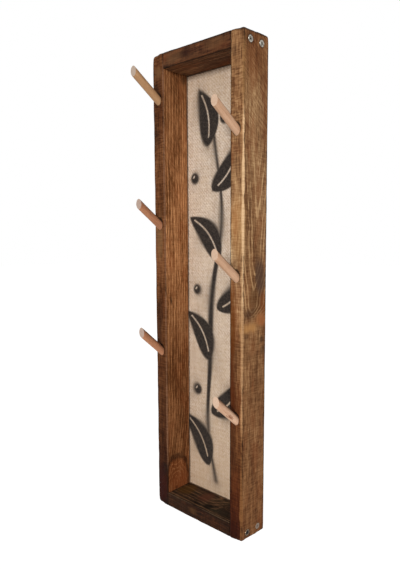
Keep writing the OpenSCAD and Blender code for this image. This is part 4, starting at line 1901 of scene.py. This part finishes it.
@dataclass
class Studio:
    """Floor, lamp, world and camera. Lengths are metres here."""

    floor_z: float = -2.1
    floor_half: float = 30.0
    sky: float = 0.44
    focal_px: float = 519.916
    centre_px: tuple[float, float] = (250.0, 299.109)
    image_px: tuple[int, int] = (400, 570)
    sensor_mm: float = 36.0
    eye: Point = (0.54718, -0.57566, -0.20534)
    yaw: float = 0.70119
    pitch: float = -0.12108
    roll: float = 0.00737

    def camera(self) -> None:
        """Puts the camera where the photograph was taken from."""
        data = bpy.data.cameras.new("camera")
        lens = bpy.data.objects.new("camera", data)
        bpy.context.scene.collection.objects.link(lens)
        cy, sy, cp, sp = math.cos(self.yaw), math.sin(self.yaw), math.cos(self.pitch), math.sin(self.pitch)
        ahead = Vector((-sy * cp, cy * cp, sp))
        right = Vector((cy, sy, 0))
        up = right.cross(ahead)
        cr, sr = math.cos(self.roll), math.sin(self.roll)
        axis_x, axis_y = right * cr + up * sr, up * cr - right * sr
        turn = Matrix((axis_x, axis_y, -ahead)).transposed()
        lens.matrix_world = Matrix.Translation(self.eye) @ turn.to_4x4()
        wide, tall = self.image_px
        data.sensor_width = self.sensor_mm
        data.lens = self.focal_px * self.sensor_mm / tall
        data.shift_x = (wide / 2 - self.centre_px[0]) / tall
        data.shift_y = (self.centre_px[1] - tall / 2) / tall
        data.clip_start, data.clip_end = 0.01, 100
        bpy.context.scene.camera = lens

    def lamp(self, name: str, azimuth: float, elevation: float, strength: float, softness: float,
             colour: str) -> None:
        """Hangs one soft, even lamp that is far enough away to light the whole floor alike.

        Args:
            name: The lamp's name.
            azimuth: Where it hangs, in degrees to the right of straight ahead of the rack.
            elevation: Its height in degrees above the horizon.
            strength: Its strength.
            softness: How wide it looks, in degrees.
            colour: Its colour.
        """
        data = bpy.data.lights.new(name, "SUN")
        data.energy, data.angle, data.color = strength, math.radians(softness), linear(colour)[:3]
        lamp = bpy.data.objects.new(name, data)
        bpy.context.scene.collection.objects.link(lamp)
        a, e = math.radians(azimuth), math.radians(elevation)
        towards = Vector((math.sin(a) * math.cos(e), -math.cos(a) * math.cos(e), math.sin(e)))
        lamp.rotation_euler = towards.to_track_quat("Z", "Y").to_euler()

    def world(self) -> None:
        """Lights the scene evenly and shows white to the camera and to reflections."""
        world = bpy.data.worlds.new("studio")
        bpy.context.scene.world = world
        world.use_nodes = True
        tree = world.node_tree
        tree.nodes.clear()
        level = add(tree, MIX, {"Factor": seen_plainly(tree), "A": self.sky, "B": 1.0})
        sky = add(tree, "ShaderNodeBackground", {"Color": "#FFFFFF", "Strength": level})
        add(tree, "ShaderNodeOutputWorld", {"Surface": sky})

    def floor(self) -> None:
        """Lays the floor well below the hanging rack."""
        mesh = bpy.data.meshes.new("floor")
        work = bmesh.new()
        bmesh.ops.create_grid(work, x_segments=8, y_segments=8, size=self.floor_half)
        work.to_mesh(mesh)
        work.free()
        mesh.transform(Matrix.Translation((0, 0, self.floor_z)))
        piece = new_piece("floor", mesh)
        PaleFloor("matt_white_floor").dress(piece)

    def build(self) -> None:
        """Sets up the whole studio."""
        self.camera()
        self.world()
        self.floor()
        self.lamp("key", azimuth=32, elevation=6, strength=2.3, softness=11, colour="#FFFFFF")
        bpy.context.scene.view_settings.view_transform = "Standard"


# This rack: its finishes and its places


def right_upright_finish(frame_: Frame, pegs: Sequence[Peg]) -> StainedPine:
    """Gives the right upright's wood: tan and streaky, its front arris drawn pale, rubbed and partly a
    painted highlight.

    Args:
        frame_: The frame's sizes.
        pegs: The pegs in this upright.

    Returns:
        The finish.
    """
    centre = (frame_.upright_x(1), -frame_.depth / 2, frame_.top - frame_.height / 2)
    growth = Growth(centre, Run.UP, pith=(8.0, -13.0), ring=7.6, sway=2.4, salt=4.0,
                    knots=(Knot((-5.0, -24.0, 230.0), 3.5, 0.4),),
                    runout=((-38, 0), (-8, 20), (60, 36), (230, 48)), leaning=-0.45)
    return StainedPine(
        "stained_pine_right_upright", growth, (frame_.thick / 2, frame_.depth / 2, frame_.height / 2),
        dark="#5E3C24", middle="#8B623F", light="#BD9266", inwards=(-1, 0, 0),
        front=((-340, 0.11), (-300, 0.19), (-220, 0.58), (-90, 0.88), (20, 1.44), (80, 1.62), (160, 1.22),
               (300, 1.05)),
        side=((-320, 0.79), (-200, 0.93), (-60, 1.0), (30, 1.05), (80, 1.15), (200, 1.24), (260, 1.2),
              (320, 0.83)),
        streaky=0.2, blotchy=0.22, lined=((-30, 0.0), (-16, 0.85), (60, 0.6), (150, 0.42), (220, 0.1)),
        marked=(0.18, 0.16), redder=1.1,
        pale_arrises=(PaleArris((10.4, -25.6), 1.7, 0.6, (-330, -170), "#93633A"),
              PaleArris((10.7, -25.5), 1.6, 0.8, (-160, 250), "#BC9066"),
              PaleArris((11.0, -25.0), 2.2, 0.55, (270, 318), "#A07448"),
              PaleArris((11.7, -25.6), 2.0, 0.9, (20, 235), "#DEB88C")),
        rims=peg_rims(frame_, pegs, 1),
        patches=(
            Patch((12, -1, -4), (9, 17, 28), 0.5, "#543820"),
            Patch((12, 14, 30), (9, 14, 28), 0.85, "#543D30"),
            Patch((12, 20, -8), (9, 9, 19), 0.65, "#7B4422"),
            Patch((12, -10, -41), (9, 23, 12), 0.72, "#C08A52"),
            Patch((12, 12, -32), (9, 17, 12), 0.62, "#AA6E42"),
            Patch((12, 16, -34), (9, 7, 9), 0.5, "#9E5E38"),
            Patch((12, -13, -22), (9, 16, 13), 0.85, "#4A2E1E"),
            Patch((12, -4, -18), (9, 9, 6), 0.5, "#4E3320"),
            Patch((12, -17, -52), (9, 8, 8), 0.55, "#5A3C28"),
            Patch((12, 15, -60), (9, 7, 8), 0.75, "#3E2619"),
            Patch((0, 0, 353), (60, 60, 7), 0.95, "#20130B"),
            Patch((0, 0, -353), (40, 40, 4.8), 0.85, "#24140C"),
            # These three patches are darker round the corner screws' heads
            Patch((12, -11.5, 338.5), (9, 7.6, 7.6), 0.75, "#2C1C12"),
            Patch((12, 11, 338.5), (9, 8, 8), 0.75, "#2C1C12"),
            Patch((12, -13, -340.5), (9, 7, 7), 0.5, "#2C1A10"),
            Patch((12, 25, 322), (9, 3, 32), 0.75, "#2E1E14"),
            Patch((12, -12, -82), (9, 9, 12), 0.4, "#4E3620"),
            Patch((12, 17, -76), (9, 7, 10), 0.5, "#40301F"),
            Patch((-8, -25, -180), (9, 9, 150), 0.6, "#35180A"),
            Patch((-10, -25, -30), (9, 9, 75), 0.62, "#643208"),
            Patch((-10, -25, -135), (10, 9, 75), 0.68, "#52240A"),
            Patch((0, -25, 100), (14, 9, 50), 0.3, "#C0894E"),
            Patch((-6, -25, 326), (6, 9, 10), 0.35, "#4A3424")),
        saw=(190.0, 250.0, 0.9))


def left_upright_finish(frame_: Frame, pegs: Sequence[Peg]) -> StainedPine:
    """Gives the left upright's wood: redder and darker, with a knot near its lower end.

    Args:
        frame_: The frame's sizes.
        pegs: The pegs in this upright.

    Returns:
        The finish.
    """
    centre = (frame_.upright_x(-1), -frame_.depth / 2, frame_.top - frame_.height / 2)
    growth = Growth(centre, Run.UP, pith=(-11.0, -62.0), ring=4.8, sway=5.0, salt=9.0,
                    knots=(Knot((12.0, -6.0, -317.0), 27.0, 0.35),))
    return StainedPine(
        "stained_pine_left_upright", growth, (frame_.thick / 2, frame_.depth / 2, frame_.height / 2),
        dark="#5E381C", middle="#905E39", light="#C48C5D", inwards=(1, 0, 0),
        front=((-340, 0.08), (-220, 0.2), (-60, 0.38), (60, 0.56), (180, 0.43), (300, 0.31)),
        # The inner face's values are painted light, lifting a face that the opening keeps from the lamp
        inner=((-320, 0.69), (-240, 0.76), (-100, 0.84), (0, 1.15), (60, 1.33), (110, 1.35), (180, 1.14),
               (260, 1.04), (300, 0.84)),
        side=((-320, 0.6), (0, 0.8)), streaky=0.18, blotchy=0.24, lined=((0, 0.42),), marked=(0.24, 0.08),
        redder=0.35,
        pale_arrises=(PaleArris((11.8, -25.0), 1.3, 0.55, (-250, 320), "#9A6C4E"),),
        rims=peg_rims(frame_, pegs, -1),
        patches=(
            Patch((-6, -25, 300), (8, 9, 14), 0.5), Patch((-4, -25, 230), (8, 9, 22), 0.4),
            # The second patch on this line is painted shade in the inner face's top rear corner, under the
            # top board
            Patch((-4, -25, -60), (9, 9, 50), 0.5, "#24140D"), Patch((12, 16, 320), (9, 9, 10), 0.6),
            Patch((12, 8, -112), (9, 12, 9), 0.4, "#45240F"), Patch((12, -14, -16), (9, 1.8, 9), 0.9),
            Patch((-3, -25, -318), (14, 9, 44), 0.7, "#300E08"),
            Patch((0, 0, 352.5), (60, 60, 6), 0.95, "#1E110A"),
            Patch((0, 0, -353), (40, 40, 4.8), 0.85, "#1E100A"),
            Patch((12, 2, -318), (9, 24, 22), 0.35, "#7E4020"),
            Patch((12, -6, -326), (9, 4, 5), 0.6, "#3E1C0C"),
            Patch((0, -25, 80), (9, 9, 50), 0.4, "#8A6844"),
            # Painted contact shadow along the inner face's rear edge, where it meets the cloth
            Patch((12, 23, 220), (9, 3, 120), 0.7, "#2C160C"),
            Patch((2, -25, 325), (9, 9, 12), 0.5, "#7A5636")),
        knot_colour="#8A421C", saw=(120.0, 190.0, 0.8))


def peg_rims(frame_: Frame, pegs: Sequence[Peg], side: int) -> tuple[Point, ...]:
    """Finds the peg holes' rims on one upright.

    Args:
        frame_: The frame's sizes.
        pegs: All the pegs.
        side: -1 on the left and 1 on the right.

    Returns:
        Their centres, in board millimetres.
    """
    return tuple((peg.x - frame_.upright_x(side), -frame_.depth / 2, peg.height - frame_.height / 2 + 1.5)
                 for peg in pegs if peg.x * side > 0)


def rail_finish(frame_: Frame, end: int) -> StainedPine:
    """Gives the wood of the top or the bottom board: both are stained nearly black.

    Args:
        frame_: The frame's sizes.
        end: 1 for the top board and -1 for the bottom board.

    Returns:
        The finish.
    """
    z = frame_.top - frame_.rail / 2 if end > 0 else frame_.bottom + frame_.rail / 2
    centre = (0.0, -frame_.depth / 2, z)
    # No stain gathers at the ends, which butt against the uprights
    half = (frame_.rail / 2, frame_.depth / 2, frame_.width / 2 - frame_.thick + 4)
    if end > 0:
        growth = Growth(centre, Run.ACROSS, pith=(30.0, 10.0), ring=4.0, sway=6.0, salt=14.0)
        return StainedPine(
            "stained_pine_top_board", growth, half, dark="#2F1A11", middle="#533420", light="#7C4F31",
            # The underside's factor is painted light, lifting a face that little light reaches
            inwards=(0, 0, -1), inner=((0, 1.7),),
            patches=(
                Patch((-11.5, 0, 0), (5, 60, 120), 0.3, "#683A1C"),
                Patch((13, 0, 0), (5, 60, 200), 0.9, "#20130B"),
                Patch((0, -25, 46), (12, 9, 20), 0.45, "#6A4A30"),
                Patch((0, -25, 18), (12, 9, 12), 0.5, "#2A150E"),
                Patch((2, -25, -40), (9, 9, 22), 0.45, "#6E4A2E")))
    growth = Growth(centre, Run.ACROSS, pith=(-14.0, 16.0), ring=5.0, sway=8.0, salt=21.0,
                    knots=(Knot((11.0, 4.0, -46.0), 9.0, 0.4),))
    return StainedPine(
        "stained_pine_bottom_board", growth, half, dark="#1D120C", middle="#3C2719", light="#6B482F",
        # The upper face's inner factor is painted light, lifting a face that little light reaches
        inwards=(0, 0, 1), front=((0, 0.5),), inner=((0, 1.5),), lined=((0, 0.5),), tint="#3A3222",
        pale_arrises=(PaleArris((11.3, -25.0), 0.7, 0.45, (-400, 400), "#7A6048"),),
        patches=(
            Patch((11, 4, 52), (9, 20, 16), 0.6, "#6A4A20"),
            Patch((11, 6, 8), (9, 16, 16), 0.6, "#704030"),
            Patch((11, -12, -12), (9, 7, 9), 0.85, "#140D0A"),
            Patch((11, 0, -46), (9, 22, 22), 0.5, "#3A2E24"),
            Patch((0, -25, 10), (10, 9, 16), 0.5, "#5C3E24")))


SPRIG_LEAVES = (
    Leaf(-20, -574, 92, 21, -36), Leaf(-14, -486, 84, 19, 44), Leaf(-18, -400, 88, 20, -34),
    Leaf(-2, -318, 80, 18, 46), Leaf(2, -242, 90, 20, -44), Leaf(-12, -138, 84, 19, 38),
    Leaf(-22, -72, 86, 20, -12),
)
SPRIG_BERRIES = ((-46.0, -452.0, 8.5), (-46.0, -290.0, 7.5), (-50.0, -118.0, 8.0), (12.0, -34.0, 8.5))


def main() -> None:
    """Builds the rack in order and reports each piece."""
    logging.basicConfig(level=logging.INFO, format="%(name)s: %(message)s", stream=sys.stdout)
    box = Frame()
    right_dowel = {"colour": "#D8AF8F", "fleck": "#A87A5A", "end": "#D8BCA4"}
    # The left pegs are the same beech drawn darker, as painted shade
    left_dowel_shaded = {"colour": "#BC8360", "fleck": "#8A563C", "end": "#BCACA0"}
    # The pegs stand 12 mm in from the left face and 13 mm in from the right one
    left, right = 12 - box.width / 2, box.width / 2 - 13
    pegs = (
        Peg("peg_left_bottom", left, 256.5, 41, 50.5,
            OiledDowel("oiled_dowel_left_bottom", salt=1, **left_dowel_shaded)),
        Peg("peg_left_middle", left, 452.5, 37, 49,
            OiledDowel("oiled_dowel_left_middle", salt=12, **left_dowel_shaded)),
        Peg("peg_left_top", left, 636.5, 35, 54.5,
            OiledDowel("oiled_dowel_left_top", colour="#C59A70", fleck="#966A48", end="#B8ACA0", salt=23)),
        Peg("peg_right_bottom", right, 180.5, 41, 52,
            OiledDowel("oiled_dowel_right_bottom", colour="#DFB799", fleck="#A87656", end="#E0C4AC", salt=34,
                       knot=(4.6, -3.8, 17.0))),
        Peg("peg_right_middle", right, 381, 37, 52,
            OiledDowel("oiled_dowel_right_middle", salt=45, **right_dowel)),
        Peg("peg_right_top", right, 575, 35, 51,
            OiledDowel("oiled_dowel_right_top", salt=56, **right_dowel)),
    )
    peg_set, hanger = PegSet(box, pegs), Hanger()

    for side, name, finish in ((-1, "left_upright", left_upright_finish(box, pegs)),
                               (1, "right_upright", right_upright_finish(box, pegs))):
        Board(name, finish, (box.thick, box.depth, box.height), box.upright_arris, "upright_wood",
              lambda side=side: (peg_set.holes(side) + box.countersinks(side) + hanger.recess(side)
                                 + [box.panel_bed()])).build()
    for end, name in ((1, "top_board"), (-1, "bottom_board")):
        Board(name, rail_finish(box, end), (box.width - 2 * box.thick, box.depth, box.rail),
              box.rail_arris, "rail_wood", lambda: [box.panel_bed()],
              step_along=1.3, step_across=1.0).build()
    peg_set.build()

    fasteners = Fasteners()
    face = box.width / 2 - box.screw_sink
    screw_finishes = {"top": BrightZinc("zinc_top_screws", face, "#B4AEA2", "#6A635A"),
                      "bottom": BrightZinc("zinc_bottom_screws_waxed", face, "#8E7A62", "#54473A",
                                           clogged=(box.screw_y[0], box.screw_z[1]),
                                           filled=(box.screw_y[1], box.screw_z[1]))}
    for side in (-1, 1):
        for end, z in zip(("top", "bottom"), box.screw_z):
            name = f"screws_{end}_{'left' if side < 0 else 'right'}"
            shape = fasteners.screw(f"{name}_shape", box.screw)
            # Each pair gets its own seed, so that no two pairs' slots are turned alike
            made = fasteners.set_at(f"{name}_pair", shape, [(side * face, y, z) for y in box.screw_y],
                                    (0, side * math.pi / 2, 0), 3 + side + int(z), screw_finishes[end])
            hand_over(made, "zinc", name)
    for side, word in ((-1, "left"), (1, "right")):
        hanger.plate(side)
        shape = fasteners.screw(f"hanger_screw_{word}_shape", hanger.screw)
        made = fasteners.set_at(f"hanger_screws_{word}_pair", shape,
                                [(side * hanger.x, 0, z) for z in hanger.screws_z], (-math.pi / 2, 0, 0),
                                5 + side, BrightZinc("zinc_hanger_screws"))
        hand_over(made, "zinc", f"hanger_screws_{word}")

    Hessian(box, JuteHessian("jute_hessian_sprayed", 2.7, pale="#E2D1BF", deep="#AD927A", ink="#231E1C",
                             straw="#CDB69A", darker_brown="#A68460", opening=box.opening),
            leaves=SPRIG_LEAVES, berries=SPRIG_BERRIES).build()
    Hardboard("pressed_fibreboard", "#9C7850", "#7A5836").dress_solid("back_panel")
    BrightZinc("zinc_panel_pins").dress_solid("panel_pins")
    Studio().build()


if __name__ == "__main__":
    main()
